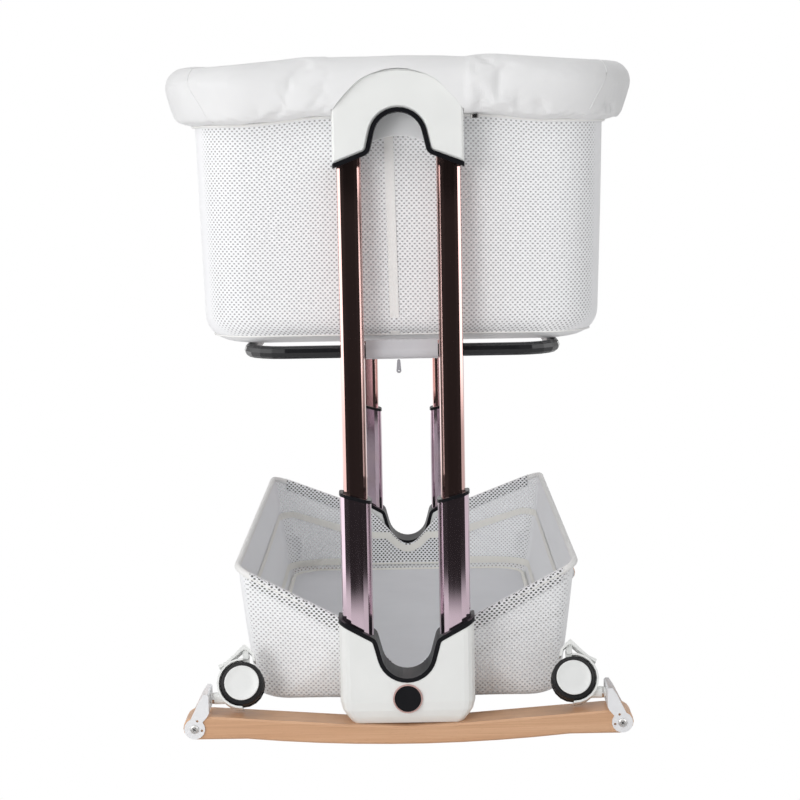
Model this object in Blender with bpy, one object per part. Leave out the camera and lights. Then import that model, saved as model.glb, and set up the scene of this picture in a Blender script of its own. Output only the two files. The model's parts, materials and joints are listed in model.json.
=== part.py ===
# Bedside bassinet on two rocker skis: telescopic legs, padded mesh bassinet, mesh basket below,
# and a fold-away caster at each ski end. Metres, +Z up, origin on the floor under the centre.
# X is the width, along which it rocks, and Y is the length. The near end is at -Y.
import math

import bmesh
import bpy
from mathutils import Matrix, Vector

# Driving sizes of the whole
column_spacing_y = 0.845
column_half_x = 0.059
fit_gap = 0.0003
cut_overrun = 0.02
least_round = 0.0005
shade_angle = math.radians(32)

# Rocker ski
ski_half_length = 0.2735
ski_depth = 0.046
ski_height_at_middle = 0.022
ski_sole_radius = 2.0
ski_end_radius = 0.0140
ski_pivot_z = 0.0236
ski_edge_round = 0.0022
ski_top_bend_radius = 0.70
ski_top_rise_share = 0.073

# Lower housing
housing_half_x = 0.082
housing_depth = 0.050
housing_corner = 0.013
housing_foot_half_x = 0.068
housing_foot_depth = 0.030
housing_shoulder_z = 0.053
housing_outer_z = 0.1475
housing_socket_z = 0.056
notch_radius = 0.0365
notch_bottom_z = 0.0770
notch_side_angle = math.radians(15)
notch_shoulder_x = 0.0415
notch_shoulder_radius = 0.006
housing_slant_share = 0.55
housing_foot_corner_share = 0.7
housing_level_shares = (0, 0.12, 0.3, 0.6, 1)
trim_thickness = 0.0055
trim_lip = 0.0006
pocket_border = 0.0085
pocket_depth = 0.0045
pocket_floor_z = 0.094

# Badge on the near lower housing
badge_radius = 0.0160
badge_ring_width = 0.0016
badge_plate_thickness = 0.0012
badge_ring_thickness = 0.0018
badge_z = 0.0577

# Telescopic legs
lower_tube_width = 0.0375
lower_tube_depth = 0.0335
lower_tube_corner = 0.0110
lower_tube_wall = 0.0016
lower_tube_top_z = 0.2995
upper_tube_width = 0.0290
upper_tube_depth = 0.0250
upper_tube_corner = 0.0085
upper_tube_wall = 0.0015
upper_tube_bottom_z = 0.2080
upper_tube_top_z = 0.7740
collar_height = 0.0040
collar_lip = 0.0009
collar_sleeve_length = 0.030
collar_slant_share = 0.277
lock_hole_radius = 0.0025
lock_hole_drop = 0.012

# Top housing
crown_half_x = 0.077
crown_spring_z = 0.764
crown_rise = 0.0465
crown_depth = 0.050
crown_edge_round = 0.0025
arch_radius = 0.0345
arch_top_z = 0.7660
arch_side_angle = math.radians(13)
arch_shoulder_x = 0.0389
arch_shoulder_radius = 0.006
crown_slant_share = 0.38
crown_foot_z = 0.7060
paddle_recess_depth = 0.0090
paddle_recess_margin = 0.0150
paddle_margin = 0.0060
paddle_thickness = 0.0070
paddle_lip_z = 0.7330
paddle_lip_radius = 0.070

# Padded rim
rim_z = 0.7935
rim_half_x = 0.2475
rim_corner = 0.078
rim_tube_radius = 0.0095
rim_socket_length = 0.022
pad_half_width = 0.0310
pad_top_height = 0.0275
pad_crown_rise = 0.0080
pad_crown_reach = 0.210
pad_lean = 0.0080
pad_bottom_height = 0.0355
pad_droop = 0.0085
pad_droop_start_x = 0.082
pad_droop_end_x = 0.190
pad_channel_radius = 0.0112
pad_seam_gap = 0.0008
pad_seam_turn = math.radians(-52)
pad_top_corner = 0.0260
pad_outer_corner = 0.0220
pad_inner_corner = 0.0080
pad_housing_gap = 0.0010

# Mesh body, mattress and bottom frame
body_rim_step = 0.0035
body_housing_gap = 0.0007
body_wall = 0.0020
body_top_gap = 0.0012
body_corner = 0.062
body_taper = 0.0080
body_floor_z = 0.4835
body_bottom_round = 0.036
mattress_margin_x = 0.0360
mattress_margin_y = 0.0378
mattress_height = 0.030
mattress_corner = 0.055
mattress_crown = 0.006
mattress_side_shares = ((0, 0.255), (0.22, 0.073), (0.5, 0), (0.78, 0.045), (1, 0.2))
mattress_top_shares = ((0.25, 0.55), (0.6, 1))
frame_tube_radius = 0.0080
frame_inset_x = 0.0575
frame_inset_y = 0.0058
frame_corner = 0.045
sleeve_half_length = 0.0435
sleeve_wall = 0.0016
sleeve_rise = 0.0100

# Zip on the rim seam and zip on the near sleeve
slider_length = 0.011
slider_width = 0.008
slider_height = 0.005
slider_x = 0.0905
slider_gap = 0.0008
puller_length = 0.0150
puller_width = 0.0060
puller_thickness = 0.0016
puller_x = -0.004

# Lower basket
rail_radius = 0.0030
rail_half_x = 0.2130
rail_z = 0.1990
rail_corner_setback = 0.0450
rail_corner_radius = 0.028
rail_end_x = 0.0650
rail_end_z = 0.1335
rail_face_gap = 0.0040
rail_plug_length = 0.0062
basket_wall = 0.0018
basket_floor_z = 0.0360
basket_floor_inset_x = 0.0210
basket_floor_inset_y = 0.0195
basket_floor_corner = 0.045
basket_bottom_round = 0.012
basket_dip_z = 0.0800
basket_bulge_power = 0.80
basket_wall_shares = (1, 0.55, 0.15)
basket_round_share = 0.3
floor_panel_thickness = 0.0045
floor_panel_margin = 0.0150

# Fold-away caster, sizes inward (u) and up (v) from the ski-end pivot
bracket_plate = 0.0018
bracket_side_gap = 0.0004
bracket_lobe_radius = 0.0128
bracket_web_u = 0.0158
bracket_web_thickness = 0.0020
bracket_web_bottom_v = 0.0190
bracket_web_top_v = 0.0425
bracket_hole_radius = 0.0017
screw_radius = 0.0025
screw_head_radius = 0.0052
screw_head_height = 0.0022
screw_clearance = 0.0003
stem_v = 0.0312
stem_radius = 0.0038
stem_head_radius = 0.0060
stem_head_height = 0.0011
stem_cup_radius = 0.0060
stem_boss_radius = 0.0072
stem_cup_length = 0.0048
wheel_u = 0.0570
wheel_trail = 0.0160
wheel_radius = 0.0270
wheel_half_width = 0.0150
wheel_cap_radius = 0.0198
wheel_ring_radius = 0.0236
wheel_inner_gap = 0.0033
wheel_cap_drop = 0.0006
wheel_ring_drop = 0.0012
wheel_tread_round = 0.0010
axle_radius = 0.0040
hood_gap = 0.0013
hood_thickness = 0.0024
hood_half_width = 0.0130
hood_web_half = 0.0027
hood_web_hub = 0.0095
topple_angle = math.radians(25)
pedal_pin_u = 0.0610
pedal_pin_v = 0.0815
pedal_half_width = 0.0100
pedal_plate = 0.0034
pedal_pin_radius = 0.0016
pedal_lug_radius = 0.0040
pedal_ear_gap = 0.0004
pedal_ear = 0.0022

# Side view of the pedal's plate, (u, v) from the ski-end pivot
pedal_top_line = ((0.0275, 0.0700), (0.0370, 0.0745), (0.0470, 0.0835), (0.0540, 0.0910), (0.0590, 0.0955))
pedal_back_line = ((0.0645, 0.0915), (0.0710, 0.0840), (0.0730, 0.0748), (0.0705, 0.0748), (0.0685, 0.0825), (0.0620, 0.0885))
pedal_low_line = ((0.0580, 0.0890), (0.0530, 0.0845), (0.0460, 0.0780), (0.0370, 0.0705), (0.0290, 0.0665))

# Facet counts
tube_corner_steps = 3
plan_corner_steps = 5
round_steps = 12
wheel_steps = 20

ski_pivot_x = ski_half_length - ski_end_radius
column_half_y = column_spacing_y / 2
housing_half_y = housing_depth / 2
crown_half_y = crown_depth / 2
body_half_x = rim_half_x - body_rim_step
body_half_y = column_half_y - crown_half_y - body_housing_gap
mattress_half_x = body_half_x - mattress_margin_x
mattress_half_y = body_half_y - mattress_margin_y
frame_half_x = body_half_x - frame_inset_x
frame_half_y = body_half_y - frame_inset_y
rail_plane_y = column_half_y - housing_half_y - rail_face_gap
rail_corner_y = rail_plane_y - rail_corner_setback
basket_floor_half_x = rail_half_x - basket_floor_inset_x
basket_floor_half_y = rail_plane_y - basket_floor_inset_y


# Materials

def material(name, color, roughness, metallic=0):
    made = bpy.data.materials.new(name)
    made.use_nodes = True
    shader = made.node_tree.nodes["Principled BSDF"]
    shader.inputs["Base Color"].default_value = (*color, 1)
    shader.inputs["Roughness"].default_value = roughness
    shader.inputs["Metallic"].default_value = metallic
    made.diffuse_color = (*color, 1)
    return made


# Outlines: lists of two-number points, counter-clockwise

def arc(centre, radius, start, end, steps):
    """Points on an arc; angles in radians, both ends included."""
    points = []
    for index in range(steps + 1):
        angle = start + (end - start) * index / steps
        points.append((centre[0] + radius * math.cos(angle), centre[1] + radius * math.sin(angle)))
    return points


def rounded_rectangle(half_x, half_y, corner, steps):
    points = []
    turn = 0
    for sign_x, sign_y in ((1, 1), (-1, 1), (-1, -1), (1, -1)):
        centre = (sign_x * (half_x - corner), sign_y * (half_y - corner))
        points += arc(centre, corner, turn, turn + math.pi / 2, steps)
        turn += math.pi / 2
    return points


def circle(radius, steps, centre=(0, 0)):
    return arc(centre, radius, 0, math.tau * (steps - 1) / steps, steps - 1)


def inset(outline, distance):
    """The outline moved inwards by a distance, corner by corner."""
    moved = []
    count = len(outline)
    for index in range(count):
        here = Vector(outline[index])
        before = (here - Vector(outline[index - 1])).normalized()
        after = (Vector(outline[(index + 1) % count]) - here).normalized()
        normal = Vector((-before.y - after.y, before.x + after.x)).normalized()
        reach = distance / max(normal.dot(Vector((-before.y, before.x))), 0.5)
        moved.append(tuple(here + normal * reach))
    return moved


def fillet(before, corner, after, radius, steps):
    """Arc that rounds one corner of an outline."""
    corner = Vector(corner)
    to_before = (Vector(before) - corner).normalized()
    to_after = (Vector(after) - corner).normalized()
    half = to_before.angle(to_after) / 2
    centre = corner + (to_before + to_after).normalized() * radius / math.sin(half)
    start = corner + to_before * radius / math.tan(half) - centre
    end = corner + to_after * radius / math.tan(half) - centre
    sweep = start.angle_signed(end)
    points = []
    for index in range(steps + 1):
        turned = Matrix.Rotation(-sweep * index / steps, 2) @ start
        points.append(tuple(centre + turned))
    return points


# Solids

def skin(mesh, rings, closed_path=False):
    """Faces between rings of points; the ends are capped unless the rings close on themselves."""
    loops = [[mesh.verts.new(point) for point in ring] for ring in rings]
    count = len(loops[0])
    pairs = list(zip(loops, loops[1:]))
    if closed_path:
        pairs.append((loops[-1], loops[0]))
    for low, high in pairs:
        for index in range(count):
            following = (index + 1) % count
            mesh.faces.new((low[index], low[following], high[following], high[index]))
    if not closed_path:
        mesh.faces.new(list(reversed(loops[0])))
        mesh.faces.new(loops[-1])


def solid(name, rings, finish, closed_path=False, place=None):
    """One named object from rings of points."""
    mesh = bmesh.new()
    skin(mesh, rings, closed_path)
    bmesh.ops.recalc_face_normals(mesh, faces=mesh.faces)
    data = bpy.data.meshes.new(name)
    mesh.to_mesh(data)
    mesh.free()
    if finish:
        data.materials.append(finish)
    data.shade_smooth()
    data.set_sharp_from_angle(angle=shade_angle)
    made = bpy.data.objects.new(name, data)
    bpy.context.scene.collection.objects.link(made)
    if place:
        made.matrix_world = place
    return made


def plate_rings(outline, low, high, edge_round=0, axis="Y"):
    """Rings of an extruded outline, with its two rims chamfered."""
    levels = [(low, 0), (high, 0)]
    if edge_round:
        levels = [(low, edge_round), (low + edge_round, 0), (high - edge_round, 0), (high, edge_round)]
    rings = []
    for level, distance in levels:
        flat = inset(outline, distance) if distance else outline
        if axis == "Y":
            rings.append([(x, level, z) for x, z in flat])
        elif axis == "X":
            rings.append([(level, y, z) for y, z in flat])
        else:
            rings.append([(x, y, level) for x, y in flat])
    return rings


def turned_rings(profile, steps, axis="Z"):
    """Rings of a turned profile of (radius, height) points; radius 0 is left out of a profile."""
    rings = []
    for radius, height in profile:
        ring = []
        for index in range(steps):
            angle = math.tau * index / steps
            across = radius * math.cos(angle)
            along = radius * math.sin(angle)
            if axis == "Y":
                ring.append((across, height, along))
            elif axis == "X":
                ring.append((height, across, along))
            else:
                ring.append((across, along, height))
        rings.append(ring)
    return rings


def cutter(name, rings, closed_path=False, place=None):
    made = solid(name, rings, None, closed_path, place)
    made.hide_render = True
    made.display_type = "WIRE"
    return made


def combine(target, tool, operation="DIFFERENCE"):
    modifier = target.modifiers.new(tool.name, "BOOLEAN")
    modifier.operation = operation
    modifier.solver = "EXACT"
    modifier.object = tool


# Ends of the object: -1 is the near end and 1 the far end

end_names = {-1: "near", 1: "far"}
side_names = {-1: "left", 1: "right"}


def end_place(end):
    """A far-end piece is the near-end piece turned half round about Z."""
    turn = Matrix.Rotation(math.pi, 4, "Z") if end > 0 else Matrix.Identity(4)
    return Matrix.Translation((0, end * column_half_y, 0)) @ turn


def mirrored(half):
    """A whole edge, left to right, from its right half listed from the middle outwards."""
    return [(-x, z) for x, z in reversed(half[1:])] + half


def corner_shift(side_angle, slant_angle):
    """How far the corner between a leaning side and a slanted shoulder moves inwards per unit of offset."""
    middle = (math.pi / 2 - side_angle - slant_angle) / 2
    return math.sin(middle + slant_angle) / math.cos(middle)


def notch_edge(offset):
    """Top edge of the lower housing: U notch and slanted shoulders; offset moves it up, off the edge."""
    radius = notch_radius - offset
    centre = (0, notch_bottom_z + notch_radius)
    stop = -notch_side_angle
    half = arc(centre, radius, -math.pi / 2, stop, 7)
    touch = half[-1]
    slope = Vector((math.sin(notch_side_angle), math.cos(notch_side_angle)))
    shoulder_x = notch_shoulder_x - offset * corner_shift(notch_side_angle, math.atan(housing_slant_share))
    along = (shoulder_x - touch[0]) / slope.x
    corner = (shoulder_x, touch[1] + slope.y * along)
    outer_x = housing_half_x + cut_overrun
    outer = (outer_x, corner[1] + (outer_x - corner[0]) * housing_slant_share)
    half += fillet(touch, corner, outer, max(notch_shoulder_radius + offset, least_round), 3)
    half.append(outer)
    return mirrored(half)


def arch_edge(offset):
    """Bottom edge of the top housing: arch and slanted shoulders; offset moves it down, off the edge."""
    radius = arch_radius - offset
    centre = (0, arch_top_z - arch_radius)
    half = arc(centre, radius, math.pi / 2, arch_side_angle, 7)
    touch = half[-1]
    slope = Vector((math.sin(arch_side_angle), -math.cos(arch_side_angle)))
    shoulder_x = arch_shoulder_x - offset * corner_shift(arch_side_angle, math.atan(crown_slant_share))
    along = (shoulder_x - touch[0]) / slope.x
    corner = (shoulder_x, touch[1] + slope.y * along)
    outer_x = crown_half_x + cut_overrun
    outer = (outer_x, corner[1] - (outer_x - corner[0]) * crown_slant_share)
    half += fillet(touch, corner, outer, max(arch_shoulder_radius + offset, least_round), 3)
    half.append(outer)
    return mirrored(half)


# Rocker skis

def ski_top_z(x):
    """Height of the ski's top face: a bend in the middle, then a straight rise to each end."""
    bend_end = ski_top_rise_share * ski_top_bend_radius
    reach = abs(x)
    if reach < bend_end:
        return ski_height_at_middle + reach * reach / (2 * ski_top_bend_radius)
    return ski_height_at_middle + (reach - bend_end / 2) * ski_top_rise_share


def ski_sole_z(x):
    """Height of the sole: an arc that flattens out where it meets the ends."""
    return min(x * x / (2 * ski_sole_radius), ski_pivot_z - ski_end_radius)


def make_skis(finish):
    top_reach = ski_pivot_x - ski_end_radius * 1.4
    sole_reach = math.sqrt(2 * ski_sole_radius * (ski_pivot_z - ski_end_radius))
    outline = []
    sole_steps = 9
    outline.append((ski_pivot_x - ski_end_radius, ski_pivot_z - ski_end_radius))
    outline += arc((ski_pivot_x, ski_pivot_z), ski_end_radius, -math.pi / 2, math.pi / 2, 8)
    for share in (1, 0.75, 0.5, 0.25):
        outline.append((top_reach * share, ski_top_z(top_reach * share)))
    outline.append((0, ski_top_z(0)))
    left = [(-x, z) for x, z in reversed(outline[:-1])]
    # The middle facet of the sole is the flat one that rests on the floor
    rest_z = ski_sole_z(sole_reach / sole_steps)
    sole = []
    for index in range(sole_steps + 1):
        x = sole_reach * (2 * index / sole_steps - 1)
        sole.append((x, ski_sole_z(x) - rest_z))
    outline = outline + left + sole
    shaft = [(screw_radius + screw_clearance, -ski_depth), (screw_radius + screw_clearance, ski_depth)]
    for end in (-1, 1):
        rings = plate_rings(outline, -ski_depth / 2, ski_depth / 2, ski_edge_round)
        ski = solid(f"ski_{end_names[end]}", rings, finish, place=end_place(end))
        for side in (-1, 1):
            place = end_place(end) @ Matrix.Translation((side * ski_pivot_x, 0, ski_pivot_z))
            bore = cutter(f"cut_ski_bore_{end}_{side}", turned_rings(shaft, round_steps, "Y"), place=place)
            combine(ski, bore)


# Legs

def tube_outline(width, depth, corner):
    return rounded_rectangle(width / 2, depth / 2, corner, tube_corner_steps)


def slant(outline, level, side):
    """Points of an outline on a plane that rises outwards, away from the middle of the object."""
    return [(x, y, level + side * x * collar_slant_share) for x, y in outline]


def level_ring(outline, level):
    return [(x, y, level) for x, y in outline]


def column_place(end, side):
    return Matrix.Translation((side * column_half_x, end * column_half_y, 0))


def socket_cutter(name, width, depth, corner, low, high, place):
    outline = tube_outline(width + 2 * fit_gap, depth + 2 * fit_gap, corner + fit_gap)
    return cutter(name, [level_ring(outline, low), level_ring(outline, high)], place=place)


def make_legs(tube_finish, collar_finish):
    outer = tube_outline(lower_tube_width, lower_tube_depth, lower_tube_corner)
    inner = inset(outer, lower_tube_wall)
    slim_outer = tube_outline(upper_tube_width, upper_tube_depth, upper_tube_corner)
    slim_inner = inset(slim_outer, upper_tube_wall)
    lip = inset(outer, -collar_lip)
    sleeve_outer = inset(inner, fit_gap)
    sleeve_inner = inset(slim_outer, -fit_gap)
    lower_bottom = housing_socket_z + fit_gap
    for end in (-1, 1):
        for side in (-1, 1):
            label = f"{end_names[end]}_{side_names[side]}"
            place = column_place(end, side)
            rings = [level_ring(outer, lower_bottom), slant(outer, lower_tube_top_z, side),
                     slant(inner, lower_tube_top_z, side), level_ring(inner, lower_bottom)]
            lower = solid(f"lower_tube_{label}", rings, tube_finish, True, place)
            hole = [(lock_hole_radius, 0), (lock_hole_radius, -side * lower_tube_width)]
            hole_z = lower_tube_top_z - lower_tube_width / 2 * collar_slant_share - lock_hole_drop
            hole_place = place @ Matrix.Translation((0, 0, hole_z))
            combine(lower, cutter(f"cut_lock_{label}", turned_rings(hole, 10, "X"), place=hole_place))
            seat = lower_tube_top_z + fit_gap
            rings = [slant(lip, seat + collar_height, side), slant(lip, seat, side), slant(sleeve_outer, seat, side),
                     slant(sleeve_outer, seat - collar_sleeve_length, side),
                     slant(sleeve_inner, seat - collar_sleeve_length, side),
                     slant(sleeve_inner, seat + collar_height, side)]
            collar = solid(f"guide_collar_{label}", rings, collar_finish, True, place)
            pin = cutter(f"cut_collar_{label}", turned_rings(hole, 10, "X"), place=hole_place)
            combine(collar, pin)
            rings = [level_ring(slim_outer, upper_tube_bottom_z), level_ring(slim_outer, upper_tube_top_z),
                     level_ring(slim_inner, upper_tube_top_z), level_ring(slim_inner, upper_tube_bottom_z)]
            solid(f"upper_tube_{label}", rings, tube_finish, True, place)


# Lower housings, their trims and the badge

def make_lower_housings(shell_finish, trim_finish):
    top = housing_outer_z + cut_overrun
    foot = ski_height_at_middle + fit_gap
    rise = housing_shoulder_z - foot
    sections = []
    for share in housing_level_shares:
        bulge = math.sin(share * math.pi / 2)
        half_x = housing_foot_half_x + (housing_half_x - housing_foot_half_x) * bulge
        half_y = (housing_foot_depth + (housing_depth - housing_foot_depth) * bulge) / 2
        corner = housing_corner * (housing_foot_corner_share + (1 - housing_foot_corner_share) * share)
        outline = rounded_rectangle(half_x, half_y, corner, 4)
        level = foot + rise * share
        # The foot follows the ski's top face, which rises to the sides
        ring = [(x, y, level + (ski_top_z(x) - ski_height_at_middle) * (1 - share)) for x, y in outline]
        sections.append(ring)
    sections.append(level_ring(rounded_rectangle(housing_half_x, housing_half_y, housing_corner, 4), top))
    edge = notch_edge(0)
    above = edge + [(edge[-1][0], top + cut_overrun), (edge[0][0], top + cut_overrun)]
    reach = housing_depth
    upper_edge = notch_edge(trim_thickness)
    under_edge = notch_edge(fit_gap)
    band = under_edge + list(reversed(upper_edge))
    trim_plan = rounded_rectangle(housing_half_x + trim_lip, housing_half_y + trim_lip, housing_corner, 4)
    pocket_edge = notch_edge(-pocket_border)
    for end in (-1, 1):
        name = end_names[end]
        place = end_place(end)
        shell = solid(f"lower_housing_{name}", sections, shell_finish, place=place)
        combine(shell, cutter(f"cut_notch_{name}", plate_rings(above, -reach, reach), place=place))
        rings = plate_rings(band, -reach, reach)
        trim = solid(f"lower_trim_{name}", rings, trim_finish, place=place)
        plan = cutter(f"keep_trim_{name}", [level_ring(trim_plan, 0), level_ring(trim_plan, top)], place=place)
        combine(trim, plan, "INTERSECT")
        for side in (-1, 1):
            label = f"{name}_{side}"
            socket = socket_cutter(f"cut_socket_{label}", lower_tube_width, lower_tube_depth, lower_tube_corner,
                                   housing_socket_z, top, column_place(end, side))
            combine(shell, socket)
            combine(trim, socket)
            combine(shell, pocket_cutter(pocket_edge, label, side, place))
            hole_place = place @ Matrix.Translation((side * rail_end_x, housing_half_y, rail_end_z))
            profile = [(rail_radius + fit_gap * 2, -rail_plug_length - fit_gap),
                       (rail_radius + fit_gap * 2, rail_plug_length)]
            combine(shell, cutter(f"cut_rail_{label}", turned_rings(profile, 12, "Y"), place=hole_place))


def pocket_cutter(pocket_edge, label, side, place):
    """Recess in the housing's inner face beside the notch, on one side."""
    outer_x = housing_half_x - pocket_border
    notch = [(x, z) for x, z in pocket_edge if 0 < x < outer_x and z > pocket_floor_z]
    last = notch[-1]
    top_z = last[1] + (outer_x - last[0]) * housing_slant_share
    outline = [(outer_x, pocket_floor_z), (outer_x, top_z)] + list(reversed(notch))
    outline = [(side * x, z) for x, z in outline]
    if side < 0:
        outline.reverse()
    rings = plate_rings(outline, housing_half_y - pocket_depth, housing_half_y + cut_overrun)
    return cutter(f"cut_pocket_{label}", rings, place=place)


def make_badge(plate_finish, ring_finish):
    face_y = -column_half_y - housing_half_y
    place = Matrix.Translation((0, face_y - fit_gap, badge_z))
    plate = [(badge_radius, 0), (badge_radius, -badge_plate_thickness)]
    solid("badge_plate", turned_rings(plate, 32, "Y"), plate_finish, place=place)
    inner = badge_radius + fit_gap
    outer = inner + badge_ring_width
    ring = [(outer, 0), (outer, -badge_ring_thickness), (inner, -badge_ring_thickness), (inner, 0)]
    solid("badge_ring", turned_rings(ring, 32, "Y"), ring_finish, True, place)


# Top housings, their trims and the release paddles

def make_top_housings(shell_finish, trim_finish, paddle_finish):
    outline_top = []
    for index in range(15):
        angle = math.pi * index / 14
        outline_top.append((crown_half_x * math.cos(angle), crown_spring_z + crown_rise * math.sin(angle)))
    edge = arch_edge(0)
    inside = [(x, z) for x, z in edge if abs(x) < crown_half_x]
    corner_z = inside[-1][1] - (crown_half_x - inside[-1][0]) * crown_slant_share
    outline = outline_top + [(-crown_half_x, corner_z)] + inside + [(crown_half_x, corner_z)]
    band = list(reversed(arch_edge(fit_gap))) + arch_edge(trim_thickness)
    trim_plan = rounded_rectangle(crown_half_x + trim_lip, crown_half_y + trim_lip, crown_edge_round, 2)
    inner_y = crown_half_y - paddle_recess_depth
    centre = (0, arch_top_z - arch_radius)
    recess_radius = arch_radius + paddle_recess_margin
    recess = arc(centre, recess_radius, 0, math.pi, 12)
    recess += [(-recess_radius, crown_foot_z - cut_overrun), (recess_radius, crown_foot_z - cut_overrun)]
    low_z = corner_z - cut_overrun
    high_z = arch_top_z + cut_overrun
    for end in (-1, 1):
        name = end_names[end]
        place = end_place(end)
        rings = plate_rings(outline, -crown_half_y, crown_half_y, crown_edge_round)
        shell = solid(f"top_housing_{name}", rings, shell_finish, place=place)
        rings = plate_rings(band, -crown_depth, crown_depth)
        trim = solid(f"top_trim_{name}", rings, trim_finish, place=place)
        plan = cutter(f"keep_arch_{name}", [level_ring(trim_plan, low_z), level_ring(trim_plan, high_z)], place=place)
        combine(trim, plan, "INTERSECT")
        rings = plate_rings(recess, inner_y, crown_half_y + cut_overrun)
        hollow = cutter(f"cut_recess_{name}", rings, place=place)
        combine(shell, hollow)
        combine(trim, hollow)
        for side in (-1, 1):
            label = f"{name}_{side}"
            socket = socket_cutter(f"cut_crown_{label}", upper_tube_width, upper_tube_depth, upper_tube_corner,
                                   low_z, upper_tube_top_z + fit_gap, column_place(end, side))
            combine(shell, socket)
            combine(trim, socket)
            bore = [(rim_tube_radius + fit_gap, side * (crown_half_x - rim_socket_length)),
                    (rim_tube_radius + fit_gap, side * (crown_half_x + cut_overrun))]
            bore_place = place @ Matrix.Translation((0, 0, rim_z))
            combine(shell, cutter(f"cut_rim_{label}", turned_rings(bore, 14, "X"), place=bore_place))
        make_paddle(name, centre, inner_y, place, paddle_finish)


def make_paddle(name, centre, inner_y, place, finish):
    """Arched release plate in the recess behind the arch; its lower lip is curved too."""
    radius = arch_radius + paddle_margin
    lip_centre = (0, paddle_lip_z - paddle_lip_radius)
    lip_half = math.asin(radius / paddle_lip_radius)
    outline = arc(centre, radius, 0, math.pi, 14)
    outline += arc(lip_centre, paddle_lip_radius, math.pi / 2 + lip_half, math.pi / 2 - lip_half, 8)
    rings = plate_rings(outline, inner_y + fit_gap, inner_y + fit_gap + paddle_thickness, fit_gap * 3)
    solid(f"release_paddle_{name}", rings, finish, place=place)


# Loops in plan: each station has its point and its outward direction

def plan_stations(half_x, half_y, corner, straight_x, straight_y, steps=plan_corner_steps):
    """Stations round a rounded rectangle, counter-clockwise from the middle of the right side."""
    stations = []
    sides = ((1, 1, True), (-1, 1, False), (-1, -1, True), (1, -1, False))
    for sign_x, sign_y, starts_upright in sides:
        centre = Vector((sign_x * (half_x - corner), sign_y * (half_y - corner)))
        start = math.atan2(sign_y, sign_x) - math.pi / 4
        for index in range(steps + 1):
            angle = start + math.pi / 2 * index / steps
            outward = Vector((math.cos(angle), math.sin(angle)))
            stations.append((centre + outward * corner, outward))
        shares = straight_x if starts_upright else straight_y
        span = (half_x - corner) if starts_upright else (half_y - corner)
        for share in shares:
            along = sign_x * span * share if starts_upright else sign_y * span * share
            if starts_upright:
                stations.append((Vector((along, sign_y * half_y)), Vector((0, sign_y))))
            else:
                stations.append((Vector((sign_x * half_x, along)), Vector((sign_x, 0))))
    return stations


end_shares = (0.80, 0.62, 0.48, 0.24, 0, -0.24, -0.48, -0.62, -0.80)
side_shares = (0,)


def droop_share(x):
    """0 beside the housings, 1 at the corners and along the sides."""
    share = (abs(x) - pad_droop_start_x) / (pad_droop_end_x - pad_droop_start_x)
    share = min(max(share, 0), 1)
    return share * share * (3 - 2 * share)


def pad_top_rise(x):
    """Extra height of the pad's top at the middle of each end, fading out to the corners."""
    share = min(abs(x) / pad_crown_reach, 1)
    return pad_crown_rise * (1 - share * share * (3 - 2 * share))


def pad_bottom_z(x):
    return rim_z - pad_bottom_height - pad_droop * droop_share(x)


def pad_section(point, outward):
    """One section of the pad: rounded outside, round channel inside, joined by the open zip seam."""
    depth = pad_bottom_height + pad_droop * droop_share(point.x)
    seam = pad_seam_turn
    seam_share = math.asin(pad_seam_gap / 2 / pad_outer_corner)
    out_a = pad_half_width - pad_outer_corner - pad_lean * droop_share(point.x)
    top_a = pad_half_width - pad_top_corner
    inner_a = pad_inner_corner - pad_half_width
    low_u = pad_outer_corner - depth
    top_u = pad_top_height + pad_top_rise(point.x) - pad_top_corner
    inner_u = pad_inner_corner - depth
    section = arc((out_a, low_u), pad_outer_corner, seam + seam_share, 0, 2)
    section += arc((top_a, top_u), pad_top_corner, 0, math.pi / 2, 3)
    section += arc((-top_a, top_u), pad_top_corner, math.pi / 2, math.pi, 3)
    section += arc((inner_a, inner_u), pad_inner_corner, math.pi, math.pi * 1.5, 2)
    section += arc((out_a, low_u), pad_outer_corner, -math.pi / 2, seam - seam_share, 1)
    channel_share = math.asin(pad_seam_gap / 2 / pad_channel_radius)
    section += arc((0, 0), pad_channel_radius, seam + math.tau - channel_share, seam + channel_share, 8)
    ring = []
    for across, up in section:
        spot = point + outward * across
        ring.append((spot.x, spot.y, rim_z + up))
    return ring


def make_rim(pad_finish, tube_finish):
    stations = plan_stations(rim_half_x, column_half_y, rim_corner, end_shares, side_shares)
    rings = [pad_section(point, outward) for point, outward in stations]
    pad = solid("rim_pad", rings, pad_finish, True)
    for end in (-1, 1):
        gap = pad_housing_gap
        outline = []
        for index in range(15):
            angle = math.pi * index / 14
            outline.append(((crown_half_x + gap) * math.cos(angle),
                            crown_spring_z + (crown_rise + gap) * math.sin(angle)))
        outline += [(-crown_half_x - gap, crown_foot_z), (crown_half_x + gap, crown_foot_z)]
        rings = plate_rings(outline, -crown_half_y - cut_overrun, crown_half_y + gap)
        combine(pad, cutter(f"cut_pad_{end}", rings, place=end_place(end)))
    make_rim_tubes(tube_finish)


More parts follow.
